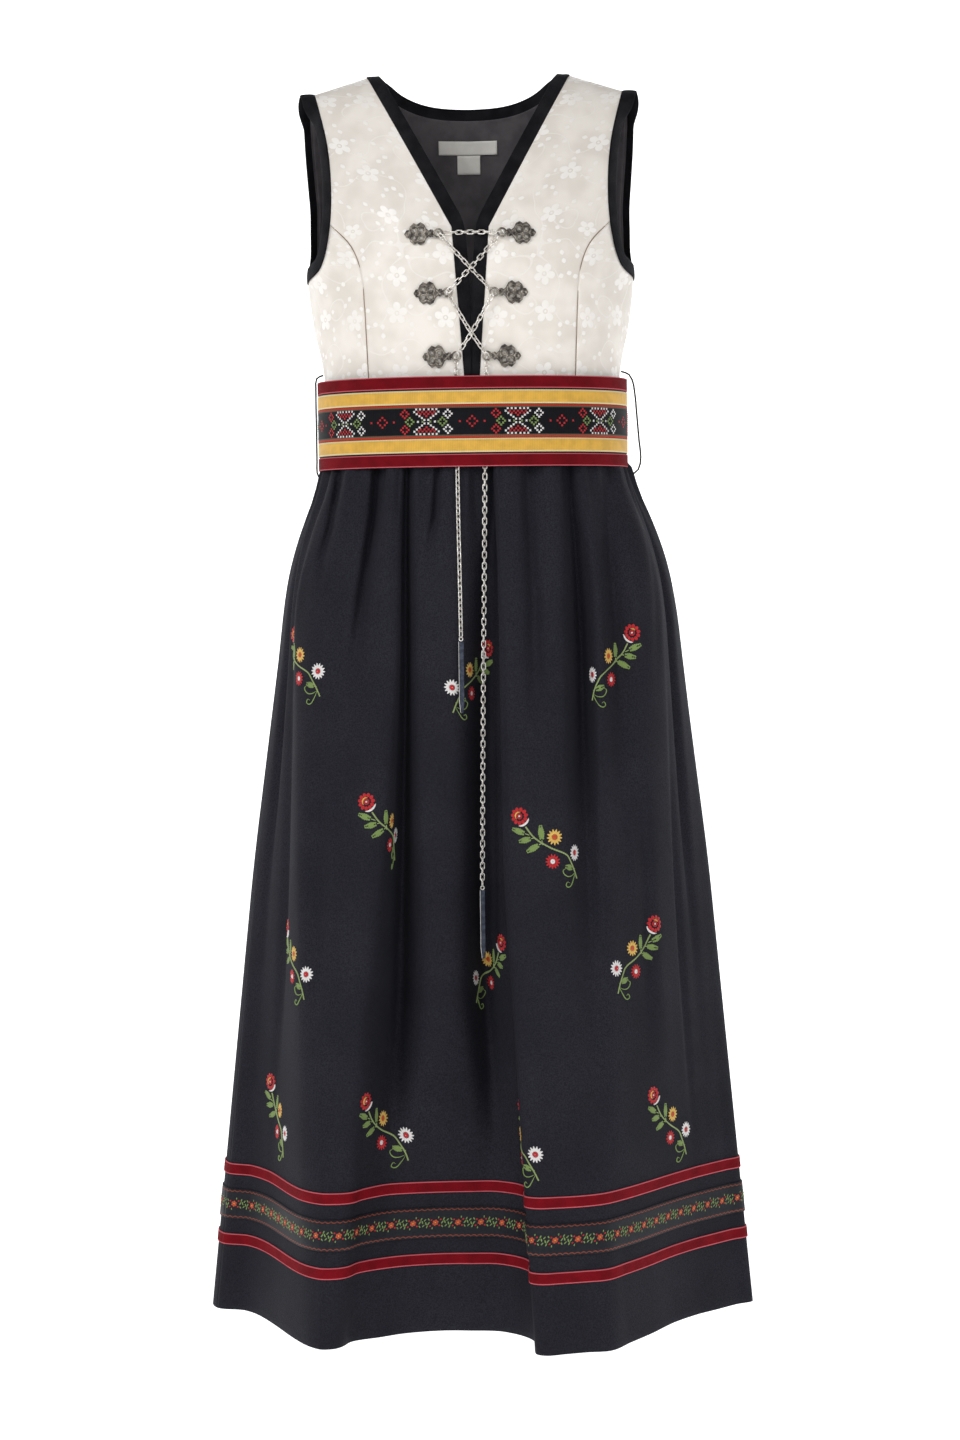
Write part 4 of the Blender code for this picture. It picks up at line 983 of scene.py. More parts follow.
def make_finishes():
    """Every material of the dress, named after its slot or its thread."""
    for make in (make_grain, make_threads, make_selvedge, make_stitch_run, make_brocade_flowers,
                 make_scallops, brocade_finish, wool_finish, hem_weave_finish):
        make()
    pink, glow = dye(205, 96, 106), dye(220, 60, 70)
    velvet_high, yellow_high, weave_high = ((end - start) * STRIPE_SCALE for _, start, end, _ in STRIPES[:3])
    pile_finish("velvet", dye(13, 13, 16), dye(27, 27, 31), 0.10, dye(110, 112, 122))
    pile_finish("ribbon_velvet", dye(104, 6, 18), dye(122, 9, 23), 0.07, glow,
                (UPPER_VELVET[0] - UPPER_VELVET[1], 0.0009, pink))
    pile_finish("belt_velvet", dye(98, 5, 16), dye(116, 8, 21), 0.06, glow,
                (velvet_high, 0.0008, pink))
    ribbed_finish("belt_yellow", dye(236, 184, 72), 0.0016,
                  ((yellow_high, -1.0, 0.0013, dye(240, 222, 172)),))
    ribbed_finish("belt_weave", dye(16, 17, 23), 0.0018,
                  ((weave_high, -1.0, 0.0019, dye(196, 64, 46)),
                   (weave_high, 0.0019, 0.0030, dye(92, 92, 74))), 0.65, 0.12)
    ribbed_finish("belt_web", dye(22, 21, 25), 0.0016, (), 0.7)
    metal_finish("silver", dye(248, 244, 238), dye(214, 208, 200), 0.28, (0.15, 0.5), 0.8)
    metal_finish("silver_dark", dye(120, 114, 106), dye(66, 61, 57), 0.40, (0.1, 0.9), 0.9)
    metal_finish("silver_worn", dye(172, 165, 156), dye(104, 98, 92), 0.34, (0.1, 0.9), 0.9)
    metal_finish("steel", dye(74, 79, 91), dye(56, 61, 72), 0.30, (0.1, 0.9))
    # Lining: its dark grey painted lighter to stand in for the light that reaches inside the bodice: partly
    # its own colour, partly painted light
    twill_finish("lining", dye(86, 82, 85), dye(70, 67, 70), 0.5, 0.0008)
    twill_finish("cord", dye(13, 13, 15), dye(8, 8, 10), 0.7, 0.0007)
    # Label: its pale cream painted lighter still to stand in for the light inside the bodice: partly its own
    # colour, partly painted light
    twill_finish("label", dye(232, 229, 222), dye(218, 215, 208), 0.55, 0.0009)
    twill_finish("seam_thread", dye(150, 128, 104), dye(120, 98, 76), 0.7, 0.0009)
    for name, shade in zip(THREADS, THREAD_SHADES):
        thread_finish(name, dye(*shade))


def make_camera():
    data = bpy.data.cameras.new("camera")
    data.lens = CAMERA_LENS
    data.sensor_width = 36.0
    data.clip_end = 50.0
    camera = add_object("camera", data)
    tilt = Matrix.Rotation(math.radians(90 - CAMERA_DOWN), 4, "X")
    roll = Matrix.Rotation(math.radians(CAMERA_ROLL), 4, "Z")
    camera.matrix_world = Matrix.Translation(CAMERA_PLACE) @ tilt @ roll
    bpy.context.scene.camera = camera


def area_light(name, place, target, size, power):
    data = bpy.data.lights.new(name, "AREA")
    data.shape = "RECTANGLE"
    data.size, data.size_y = size
    data.energy = power
    light = add_object(name, data)
    light.location = place
    light.rotation_euler = (Vector(target) - Vector(place)).to_track_quat("-Z", "Y").to_euler()


def make_studio():
    """Pale floor that sweeps up into a backdrop, and soft lamps from in front and the sides."""
    scene = bpy.context.scene
    scene.view_settings.view_transform = "Standard"
    world = bpy.data.worlds.new("studio")
    world.use_nodes = True
    scene.world = world
    background = world.node_tree.nodes["Background"]
    background.inputs["Color"].default_value = (1.0, 1.0, 1.0, 1.0)
    background.inputs["Strength"].default_value = WORLD_LIGHT
    bm = bmesh.new()
    bmesh.ops.create_grid(bm, x_segments=2, y_segments=48, size=0.5)
    flat, high = SWEEP_FLAT, SWEEP_RADIUS * QUARTER
    for vertex in bm.verts:
        reach = (vertex.co.y + 0.5) * (flat + high + SWEEP_WALL)
        turn = clamp((reach - flat) / SWEEP_RADIUS, 0.0, QUARTER)
        past = max(reach - flat - high, 0.0)
        vertex.co = (vertex.co.x * SWEEP_WIDE, SWEEP_START + min(reach, flat) + SWEEP_RADIUS * math.sin(turn),
                     FLOOR_Z + SWEEP_RADIUS * (1 - math.cos(turn)) + past)
    mesh = to_mesh(bm, "floor")
    mesh.shade_smooth()
    pale = Finish("pale_floor", 0.9, specular=0.1)
    pale.inputs["Base Color"].default_value = FLOOR_SHADE
    far = pale.mask(pale.split(pale.own_place())[1], GLOW_FROM_Y, GLOW_FULL_Y)
    pale.feed("Emission Color", pale.blend(far, FLOOR_GLOW, BACKDROP_GLOW))
    pale.inputs["Emission Strength"].default_value = 1.0
    mesh.materials.append(FINISHES["pale_floor"])
    add_object("floor", mesh)
    for name, place, size, power in LAMPS:
        area_light(name, place, LAMPS_AIM, size, power)


def tube(bm, stations, radius, sides=6):
    """Round wire along stations, each a point and two directions across the wire."""
    turns = np.linspace(0, math.tau, sides + 1)
    swings = [(radius * math.cos(turn), radius * math.sin(turn)) for turn in turns]
    add_grid(bm, np.array([[point + first * one + second * other for one, other in swings]
                           for point, first, second in stations], float))


def link_mesh(bm, middle, along, side):
    """One oval link of wire round a point, its length along the chain."""
    up = along.cross(side).normalized()
    stations = []
    for station in range(LINK_STATIONS + 1):
        turn = math.tau * station / LINK_STATIONS
        outward = along * math.cos(turn) + side * math.sin(turn)
        straight = math.copysign((LINK_LENGTH - LINK_WIDTH) / 2, math.cos(turn))
        if abs(math.cos(turn)) < 0.01:
            straight = 0.0
        stations.append((middle + along * straight + outward * (LINK_WIDTH - LINK_WIRE) / 2, outward, up))
    tube(bm, stations, LINK_WIRE / 2)


def add_grid(bm, points):
    """Add a grid of faces over an array of points, joined where its edges meet."""
    fresh = grid_points(bm, points.shape[0] - 1, points.shape[1] - 1)
    for vertex, across, along in fresh:
        vertex.co = points[across, along]
    bmesh.ops.remove_doubles(bm, verts=[vertex for vertex, _, _ in fresh], dist=JOINED)


def build_chain():
    laced = [front_point(x * MM, z * MM, lift * MM) for x, z, lift in CHAIN_LACING]
    ends = [[Vector(point) * MM for point in end] for end in (CHAIN_LEFT_END, CHAIN_RIGHT_END)]
    route = smooth_route(ends[0] + laced + ends[1], CHAIN_STEPS)
    spans = [(b - a).length for a, b in zip(route, route[1:])]
    length = sum(spans)
    links = round(length / LINK_PITCH)
    bm = bmesh.new()
    stops = [0.0]
    for span in spans:
        stops.append(stops[-1] + span)
    side = Vector((1.0, 0.0, 0.0))
    for index in range(links):
        reach = (index + 0.5) * length / links
        start = int(clamp(bisect_right(stops, reach) - 1, 0, len(spans) - 1))
        middle = route[start].lerp(route[start + 1], (reach - stops[start]) / spans[start])
        along = (route[start + 1] - route[start]).normalized()
        side = (side - along * side.dot(along)).normalized()
        face = (side + along.cross(side)).normalized()
        link_mesh(bm, middle, along, face if index % 2 else along.cross(face))
    bmesh.ops.recalc_face_normals(bm, faces=bm.faces[:])
    chain = keep(bm, "chain_links", ["silver"], ["chain"])
    needles = [build_needle(*needle) for needle in NEEDLES]
    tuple(route[0])


def build_needle(name, x, y, top, bottom):
    """Flat steel bodkin with a blunt point, and an eye at its top for the chain."""
    x, y, top, bottom = x * MM, y * MM, top * MM, bottom * MM
    blade = top - bottom - NEEDLE_EYE
    bm = bmesh.new()
    bmesh.ops.create_cube(bm, size=1.0)
    bmesh.ops.scale(bm, verts=bm.verts[:], vec=(NEEDLE_WIDE, NEEDLE_THICK, blade))
    bmesh.ops.translate(bm, verts=bm.verts[:], vec=(x, y, bottom + blade / 2))
    shoulder = bottom + NEEDLE_POINT
    bmesh.ops.bisect_plane(bm, geom=bm.verts[:] + bm.edges[:] + bm.faces[:],
                           plane_co=(0.0, 0.0, shoulder), plane_no=(0.0, 0.0, 1.0))
    for vertex in bm.verts:
        if vertex.co.z < shoulder - 0.001:
            vertex.co.x += (x - vertex.co.x) * NEEDLE_TAPER
    bmesh.ops.bevel(bm, geom=bm.edges[:], offset=NEEDLE_ROUND, segments=2, profile=0.5, affect="EDGES",
                    material=-1)
    eye = Vector((x, y, top - NEEDLE_EYE / 2))
    wire(bm, [eye + Vector((math.cos(turn), 0.0, math.sin(turn))) * (NEEDLE_EYE / 2 - NEEDLE_EYE_WIRE)
              for turn in np.linspace(0, math.tau, 17)], NEEDLE_EYE_WIRE)
    bmesh.ops.recalc_face_normals(bm, faces=bm.faces[:])
    # Faces turned towards -X, where the key lamp stands, take the bright silver: a painted highlight on the
    # blade's lit side; the top round the eye is silver too
    for face in bm.faces:
        face.material_index = 1 if face.normal.x < -0.3 or face.calc_center_median().z > eye.z - 0.002 else 0
    return keep(bm, name + "_blade", ["steel", "silver"], [name], smooth=False)


def hand_creases(table, first, second):
    """How far cloth stands out over two arrays of places, from a table of its creases."""
    depth = np.zeros_like(first)
    for row in table:
        middle, level, turn, length, width, rise = row[-6:]
        cosine, sine = math.cos(math.radians(turn)), math.sin(math.radians(turn))
        along = ((first - middle) * cosine + (second - level) * sine) / length
        across = ((second - level) * cosine - (first - middle) * sine) / width
        depth += rise * np.exp(-along ** 2 - across ** 2)
    return depth


def panel_points(face, shape, columns, rows, inset=0.0):
    """Points of a bodice panel, with its seam dips and creases."""
    fine = PANEL_FINE
    points = spread(columns * fine, rows * fine, lambda across, along: body_point(
        face, *shape(across / fine, along / fine), inset))
    x, z = points[..., 0] / MM, points[..., 2] / MM
    out = hand_creases([row for row in BODICE_CREASES if row[0] == face], x, z)
    if face == FRONT:
        seam = np.array([[read(BUST_SEAM, place) for place in row] for row in points[..., 2]])
        reach = np.abs(np.abs(points[..., 0]) - seam) / SEAM_WIDTH
        out -= SEAM_DIP * np.exp(-reach ** 2) / (1 + np.exp((z + SEAM_TOP) / SEAM_FADE))
    normal = np.cross(np.gradient(points, axis=0), np.gradient(points, axis=1))
    normal /= np.maximum(np.linalg.norm(normal, axis=2, keepdims=True), 1e-9)
    normal *= np.where(normal[..., 1:2] * face < 0, -1.0, 1.0)
    return points + normal * (out * MM)[..., None]


def build_bodice():
    for side, label in SIDES:
        points = panel_points(FRONT, front_shape(side), FRONT_COLUMNS, FRONT_ROWS)
        sew(f"front_{label}", f"bodice_front_{label}", points, "brocade", WALL,
            (0.17, 0.34), "stretched", ["belt_band"], lined=True, area=0.034)
        points = panel_points(FRONT, side_shape(side), SIDE_COLUMNS, PRINCESS_ROWS)
        sew(f"side_{label}", f"bodice_side_{label}", points, "brocade", WALL,
            (0.10, 0.19), "stretched", ["belt_band"], lined=True, area=0.014)
    points = panel_points(BACK, back_shape(), BACK_COLUMNS, BACK_ROWS)
    sew("back", "bodice_back", points, "brocade", WALL,
        (0.40, 0.34), "stretched", ["belt_band"], lined=True, area=0.105)
    build_seam_threads()
    points = panel_points(BACK, back_shape(), BACK_COLUMNS, BACK_ROWS, WALL + GAP)
    sew("lining_back", "back_lining", points, "lining", LINING,
        (0.40, 0.34), "stretched", ["bodice_back"], area=0.105)


def build_seam_threads():
    """Brown thread that shows in the seam down the bust."""
    for side, label in SIDES:
        bm = new_stitches()
        stops = np.linspace(BUST_SEAM[0][0], BUST_SEAM[-1][0], 60)
        line(bm, 0, [(side * read(BUST_SEAM, z), z) for z in stops], SEAM_THREAD, 0.0)
        settle(bm, lambda points, columns: [
            front_point(x, z, lift - SEAM_THREAD_SUNK) for x, z, lift in points])
        keep(bm, f"bust_seam_{label}", ["seam_thread"])


def binding_points(stations, widths, ends, towards):
    """Points of a velvet strip over the edge of the cloth, with a soft roll across it."""
    points = [body_point(*station) for station in stations]
    last = len(points) - 1
    made = np.zeros((last + 1, len(TRIM_PROFILE), 3))
    for index, point in enumerate(points):
        normal = (point - body_point(*stations[index], 0.001)).normalized()
        along = points[min(index + 1, last)] - points[max(index - 1, 0)]
        if index in (0, last):
            along = Vector(ends[index == last])
        across = along.cross(normal).normalized()
        if across.dot(Vector(towards) - point) < 0:
            across.negate()
        for row, (share, rise) in enumerate(TRIM_PROFILE):
            made[index, row] = point + across * share * widths[index] + normal * rise * MM
    return made


def build_bindings():
    """Velvet over the front edges and the neck, and round the armholes."""
    def trim(name, node, stations, widths, ends, towards, under):
        points = binding_points(stations, widths, ends, towards)
        sew(name, node, points, "velvet", WALL, None, "folded", under)

    fine = PANEL_FINE
    last = (len(ARMHOLE) - 1) * fine
    for side, label in SIDES:
        edge = [(FRONT, *front_edge(row / fine, side)) for row in range(FRONT_ROWS * fine + 1)]
        widths = []
        for face, angle, z in edge:
            open_half = V_GAP_HALF * clamp((z - V_CLOSED_Z) / (V_BOTTOM_Z - V_CLOSED_Z))
            room = abs(body_point(face, angle, z).x) - max(open_half, V_CLOSED_HALF)
            widths.append(min(NECK_BINDING, room))
        trim(f"front_trim_{label}", f"front_binding_{label}", edge, widths, ((0, 0, 1), (0, 1, 0)),
             NECK_MIDDLE, [f"bodice_front_{label}"])
        ring = [(FRONT, *armhole_station(index / fine, FRONT, side)) for index in range(last + 1)]
        ring += [(BACK, *armhole_station(index / fine, BACK, side)) for index in range(last - 1, -1, -1)]
        trim(f"armhole_trim_{label}", f"armhole_binding_{label}", ring, [ARMHOLE_BINDING] * len(ring),
             ((0, -1, 0), (0, -1, 0)), (side * ARM_MIDDLE[0], *ARM_MIDDLE[1:]),
             [f"bodice_side_{label}", "bodice_back"])
    steps = (BACK_COLUMNS - 2 * SHOULDER_COLUMNS) * fine
    neck = [(BACK, *neck_back(2 * step / steps - 1)) for step in range(steps + 1)]
    trim("back_neck_trim", "back_neck_binding", neck, [NECK_BINDING] * len(neck), ((0, 1, 0), (0, 1, 0)),
         SHOULDER_MIDDLE, ["bodice_back"])


def fold_share(z):
    """Which two of the fold table's heights a height lies between, and how far."""
    tops = FOLD_HEIGHTS
    if z >= tops[1]:
        return 0, 1 - (1 - clamp((tops[0] - z) / (tops[0] - tops[1]))) ** WAIST_EASE
    start = 1 if z >= tops[2] else 2
    return start, (tops[start] - z) / (tops[start] - tops[start + 1])


def fold_corners(z):
    """Contour of the skirt at a height, clockwise from the left seam over the front."""
    start, share = fold_share(z)

    def at(values):
        return between(values[start], values[start + 1], share) * MM

    front = [Vector((at(row[:4]), -at(row[4:]))) for row in FRONT_FOLDS]
    half = (front[-1].x - front[0].x) / 2
    middle = (front[-1].x + front[0].x) / 2
    reach, swell = at(BACK_REACH), at(BACK_SWELL)
    back = []
    for degrees, swing in BACK_FOLDS:
        angle = math.radians(degrees)
        out = swing * swell
        back.append(Vector((middle + (half + out) * math.cos(angle),
                            (reach + out) * math.sin(angle) ** BACK_FULLNESS)))
    return front + back


def soft_corners(z):
    """The same contour, eased up and down so that no fold has a kink."""
    shifts = [SOFTEN_HEIGHT * share for share in (-1.0, -0.5, 0.0, 0.5, 1.0)]
    rings = [fold_corners(min(z + shift, FOLD_HEIGHTS[0])) for shift in shifts]
    return [sum(places, Vector((0.0, 0.0))) / len(rings) for places in zip(*rings)]


def skirt_ring(z):
    """Points of the skirt's outer contour at a height."""
    corners = soft_corners(z)
    if z > BELT_BOTTOM_Z:
        gather = between(GATHER_AT_SEAM, 1, (WAIST_Z - z) / (WAIST_Z - BELT_BOTTOM_Z))
        corners = [corner * gather for corner in corners]
    count = len(corners)
    points = []
    for index in range(count):
        steps = FRONT_STEPS if index < len(FRONT_FOLDS) - 1 else BACK_STEPS
        points += bend_through(*(corners[(index + shift) % count] for shift in (-1, 0, 1, 2)), steps)
    return [(*point, z) for point in points]


def ring_normals(points):
    """Outward direction at each point of closed rings, an array of rings by points."""
    tangent = np.roll(points, -1, axis=1) - np.roll(points, 1, axis=1)
    normal = np.stack([tangent[..., 1], -tangent[..., 0], np.zeros(points.shape[:2])], axis=2)
    return normal / np.linalg.norm(normal, axis=2, keepdims=True)


def gathers(turns, z):
    """Small uneven gathers under the belt, which die out down the skirt."""
    total = np.zeros(np.broadcast(turns, z).shape)
    for count, shift, share, reach in GATHERS:
        held = np.clip(1 - (BELT_BOTTOM_Z - z) / reach, 0.0, 1.0) ** 1.5
        uneven = count * turns + shift + 0.6 * np.sin(7 * turns + shift)
        total += share * held * np.sin(math.tau * uneven)
    return total * GATHER_RISE * np.clip(1 - (z - BELT_BOTTOM_Z) / GATHER_HIDDEN, 0.0, 1.0)


def valleys(rings, heights):
    """How far back the cloth folds in at each point of the skirt's rings, in metres."""
    depth = np.zeros(rings.shape[:2])
    for stations in SKIRT_VALLEYS:
        middle, deep, left, right = (
            np.interp(heights / MM, column(stations, 1)[::-1], column(stations, index)[::-1])[:, None]
            for index in (0, 2, 3, 4))
        shift = rings[..., 0] / MM - middle
        depth += deep * np.exp(-(shift / np.where(shift < 0, left, right)) ** 2)
    return depth * MM


class SkirtCloth:
    """The skirt's outer surface: rings of points from the hem up, with cloth lengths round them."""

    def __init__(self):
        rows = round((SKIRT_TOP_Z - HEM_Z) / SKIRT_ROW)
        self.heights = np.linspace(HEM_Z, SKIRT_TOP_Z, rows + 1)
        rings = np.array([skirt_ring(z) for z in self.heights], float)
        turns = np.linspace(0.0, 1.0, rings.shape[1], endpoint=False)[None, :]
        level = self.heights[:, None]
        out = gathers(turns, level)
        out += hand_creases(SKIRT_CREASES, turns * RING_SPAN + 0 * level, level / MM + 0 * turns) * MM
        rings += ring_normals(rings) * out[..., None]
        front, back = rings[:, :FRONT_SKIRT_COLUMNS + 1], rings[:, FRONT_SKIRT_COLUMNS + 1:]
        front[..., 1] += valleys(front, self.heights)
        back[..., 1] -= valleys(back * (-1.0, 1.0, 1.0), self.heights)
        self.rings = np.concatenate([rings, rings[:, :1]], axis=1)
        normals = ring_normals(rings)
        self.normals = np.concatenate([normals, normals[:, :1]], axis=1)
        steps = np.linalg.norm(np.diff(self.rings, axis=1), axis=2)
        self.round = np.concatenate([np.zeros((rows + 1, 1)), np.cumsum(steps, axis=1)], axis=1)

    def place(self, columns, shifts, heights, lifts):
        """Points off the cloth, each beside a column line by a length of cloth, at a height."""
        stop = len(self.heights) - 1
        step = (self.heights[-1] - self.heights[0]) / stop
        row = np.clip((heights - self.heights[0]) / step, 0, stop - 1e-6)
        below = row.astype(int)
        share = (row - below)[:, None]
        found = np.zeros((len(row), 3))
        numbers = np.arange(self.rings.shape[1])
        for line in np.unique(below):
            chosen = below == line
            for ring, weight in ((line, 1 - share[chosen]), (line + 1, share[chosen])):
                total = self.round[ring, -1]
                reach = (np.interp(columns[chosen], numbers, self.round[ring]) + shifts[chosen]) % total
                for axis in range(3):
                    points = np.interp(reach, self.round[ring], self.rings[ring, :, axis])
                    normals = np.interp(reach, self.round[ring], self.normals[ring, :, axis])
                    found[chosen, axis] += weight[:, 0] * (points + normals * lifts[chosen])
        return found

    def span(self, face):
        """First and last column line of the front or the back."""
        if face == FRONT:
            return 0, FRONT_SKIRT_COLUMNS
        return FRONT_SKIRT_COLUMNS, self.rings.shape[1] - 1

    def column_at(self, x, z, face):
        """Column line that passes a place seen from the front or the back."""
        start, stop = self.span(face)
        part = self.rings[int(np.argmin(np.abs(self.heights - z))), start:stop + 1]
        near = np.abs(part[:, 0] - x)
        outer = np.where(near < near.min() + SAME_PLACE, part[:, 1] * face, -9.0)
        return float(start + int(np.argmax(outer)))

    def part(self, face, heights, lift):
        """Points of the front or back by columns and then heights, moved off the cloth."""
        start, stop = self.span(face)
        across, along = np.meshgrid(np.arange(start, stop + 1, dtype=float), heights, indexing="ij")
        shape = across.shape
        across, along = across.ravel() % (self.rings.shape[1] - 1), along.ravel()
        zeros = np.zeros(across.size)
        return self.place(across, zeros, along, zeros + lift).reshape(*shape, 3)

    def carry(self, lift):
        """Way to settle a drawing of stitches on the cloth, that far off it."""
        return lambda points, columns: self.place(columns, points[:, 0], points[:, 1], points[:, 2] + lift)


def build_skirt(skirt):
    for face, label in FACES:
        points = skirt.part(face, skirt.heights, 0.0)
        wide, high = round(float(lengths(points, 0)[-1].max()), 3), cut_size(points)[1]
        sew(f"skirt_wool_{label}", f"skirt_{label}", points, "wool", WALL, (wide, high), "gathered",
            ["belt_band"], area=round(cut_size(points)[0] * high, 3), v_start=HEM_Z)
        for ribbon, finish, (top, bottom) in HEM_RIBBONS:
            band = skirt.part(face, np.linspace(bottom, top, RIBBON_ROWS + 1), GAP + RIBBON)
            length = float(lengths(band, 0)[-1].mean())
            sew(f"{ribbon}_ribbon_{label}", f"{ribbon}_{label}", band, finish, RIBBON,
                (round(length, 3), round(top - bottom, 4)), "laid", [f"skirt_{label}"])


def new_stitches():
    """Flat drawing of stitches: x along the cloth, y its height, z off the cloth."""
    bm = bmesh.new()
    bm.verts.layers.float.new("anchor")
    bm.loops.layers.uv.new("stitch")
    return bm


def stamp(bm, drawing, x, z, column_line=0.0):
    """Add a copy of a flat drawing at a place on the cloth."""
    start = len(bm.verts)
    bm.from_mesh(drawing)
    bm.verts.ensure_lookup_table()
    anchor = bm.verts.layers.float["anchor"]
    for vertex in bm.verts[start:]:
        vertex.co.x += x
        vertex.co.y += z
        vertex[anchor] = column_line


def lay(bm, fresh, colour, centre=(0.0, 0.0), turn=0.0):
    """Note the stitch direction of fresh flat points, then turn and move them into place."""
    run = bm.loops.layers.uv["stitch"]
    for face in {face for vertex in fresh for face in vertex.link_faces}:
        face.material_index = colour
        for loop in face.loops:
            loop[run].uv = loop.vert.co.xy
    matrix = Matrix.Translation((*centre, 0.0)) @ Matrix.Rotation(turn, 4, "Z")
    bmesh.ops.transform(bm, matrix=matrix, verts=fresh)


def pad(bm, colour, centre, turn, length, width, rise, lean=0.0, sides=8):
    """Raised pad of satin stitches: round, or wider towards its tip or its root."""
    made = bmesh.ops.create_circle(bm, cap_ends=True, segments=sides, radius=1.0)
    fresh = made["verts"]
    faces = list({face for vertex in fresh for face in vertex.link_faces})
    for vertex in fresh:
        x, y = vertex.co.xy
        vertex.co = (x * length / 2, y * width / 2 * (1 + lean * x), -STITCH_SUNK)
    raised = bmesh.ops.poke(bm, faces=faces)["verts"]
    for vertex in raised:
        vertex.co.z = rise
    lay(bm, fresh + raised, colour, centre, turn)


def line(bm, colour, points, width, rise, tapered=False):
    """Raised line of slanted stitches along flat points."""
    last = len(points) - 1
    places = {vertex: (station, row - 1) for vertex, station, row in grid_points(bm, last, 2)}
    for vertex, (station, row) in places.items():
        before, after = points[max(station - 1, 0)], points[min(station + 1, last)]
        along = (Vector(after) - Vector(before)).normalized()
        half = width / 2
        if tapered:
            half *= math.sqrt(max(math.sin(math.pi * station / last), 0.02))
        place = Vector(points[station]) + Vector((-along.y, along.x)) * row * half
        vertex.co = (*place, -STITCH_SUNK if row else rise)
    run = bm.loops.layers.uv["stitch"]
    for face in {face for vertex in places for face in vertex.link_faces}:
        face.material_index = colour
        for loop in face.loops:
            station, row = places[loop.vert]
            loop[run].uv = (row * width / 2, station * width / 2)


def round_place(centre, radius, angle):
    return centre[0] + radius * math.cos(angle), centre[1] + radius * math.sin(angle)


def arc(centre, radius, start, end, steps):
    """Flat points on an arc, its angles in degrees."""
    return [round_place(centre, radius, math.radians(between(start, end, step / steps)))
            for step in range(steps + 1)]


def daisy(bm, centre, size, colour, middle, petals, turn=0.0):
    """Embroidered daisy with pointed petals round a raised middle."""
    core = size * 0.17
    long = size / 2 - core * 0.7
    for index in range(petals):
        angle = turn + math.tau * index / petals
        place = round_place(centre, core * 0.7 + long / 2, angle)
        pad(bm, colour, place, angle, long * 1.06, size * 0.165, PETAL_RISE, lean=-0.38)
    pad(bm, middle, centre, 0.0, core * 2.1, core * 2.1, PETAL_RISE * 1.5)
    pad(bm, WHITE if middle == RED else RED, centre, 0.5, core * 0.9, core * 0.9, PETAL_RISE * 1.9, sides=6)


def rose(bm, centre, hand):
    """Embroidered rose: red petals, a cream arc, a red ring, a pale middle and a sepal."""
    for index in range(ROSE_PETALS):
        angle = math.tau * (index + 0.3) / ROSE_PETALS
        pad(bm, RED, round_place(centre, 6.1 * MM, angle), angle, 5.0 * MM, 4.1 * MM, PETAL_RISE, lean=-0.15)
    cream, low = ((70, 230), -55) if hand > 0 else ((30, 110), 235)
    line(bm, YELLOW, arc(centre, 3.6 * MM, *cream, 10), 1.7 * MM, PETAL_RISE, tapered=True)
    line(bm, RED, arc(centre, 2.1 * MM, 0, 360, 14), 1.8 * MM, PETAL_RISE * 1.2)
    pad(bm, WHITE, centre, 0.6, 2.4 * MM, 2.2 * MM, PETAL_RISE * 1.4)
    sepal = arc(centre, 8.6 * MM, low - 40 * hand, low + 45 * hand, 8)
    line(bm, WHITE, sepal, 2.3 * MM, PETAL_RISE * 1.3, tapered=True)


def keep_stitches(bm, name):
    keep(bm, name, THREADS)


def leaf(bm, root, tip, width=6.0 * MM):
    """Embroidered leaf: a half on each side of a bare middle line."""
    root, tip = Vector(root), Vector(tip)
    along = tip - root
    length = along.length
    turn = math.atan2(along.y, along.x)
    aside = Vector((-along.y, along.x)) / length
    pad(bm, LEAF, root + along * 0.5, turn, length, width * 0.86, PETAL_RISE * 0.5, lean=-0.1, sides=10)
    for index in range(7):
        share = 0.12 + 0.76 * index / 6
        edge = width * (0.50 - 0.62 * abs(share - 0.42))
        for side in (-1, 1):
            place = root + along * (share + 0.04) + aside * side * (edge * 0.52 + 0.0002)
            pad(bm, LEAF, place, turn + side * 0.85, edge * 1.35, length * 0.175, PETAL_RISE * 0.9, lean=-0.1)
    line(bm, STEM, [root - along * 0.25, root + along * 0.05], 1.0 * MM, PETAL_RISE * 0.8)


def curl(bm, start, turns):
    """Thin thread tendril through a few given points."""
    points = [point.xy for point in smooth_route([(*place, 0.0) for place in [start, *turns]], 4)]
    line(bm, LEAF, points, 1.2 * MM, PETAL_RISE * 0.8, tapered=True)


def sprig(hand, lean):
    """One sprig: rose, stem, leaves, three daisies and two tendrils, about its rose."""
    def at(x, y):
        cosine, sine = math.cos(lean), math.sin(lean)
        return hand * (x * cosine - y * sine) * MM * SPRIG_WIDEN, (x * sine + y * cosine) * MM

    bm = new_stitches()
    stem = smooth_route([(*at(x, y), 0.0) for x, y in SPRIG_STEM], 5)
    line(bm, STEM, [point.xy for point in stem], 1.7 * MM, PETAL_RISE)
    for root, tip in SPRIG_LEAVES:
        leaf(bm, at(*root), at(*tip))
    for x, y, size, colour, middle, petals in SPRIG_DAISIES:
        daisy(bm, at(x, y), size * MM, colour, middle, petals, turn=x)
    for route in SPRIG_CURLS:
        curl(bm, at(*route[0]), [at(*place) for place in route[1:]])
    rose(bm, at(0.0, 0.0), hand)
    return to_mesh(bm, "drawing")


def build_embroidery(skirt):
    """Wool sprigs over the front and back of the skirt, which follow its folds."""
    for face, label in FACES:
        bm = new_stitches()
        for side, x, z, hand, lean, *tucked in SPRIGS:
            if side == face:
                stamp(bm, sprig(hand * -face, math.radians(lean)), sum(tucked) * MM, z * MM,
                      skirt.column_at(x * MM, z * MM, face))
        settle(bm, skirt.carry(0.0))
        keep_stitches(bm, f"embroidery_{label}")


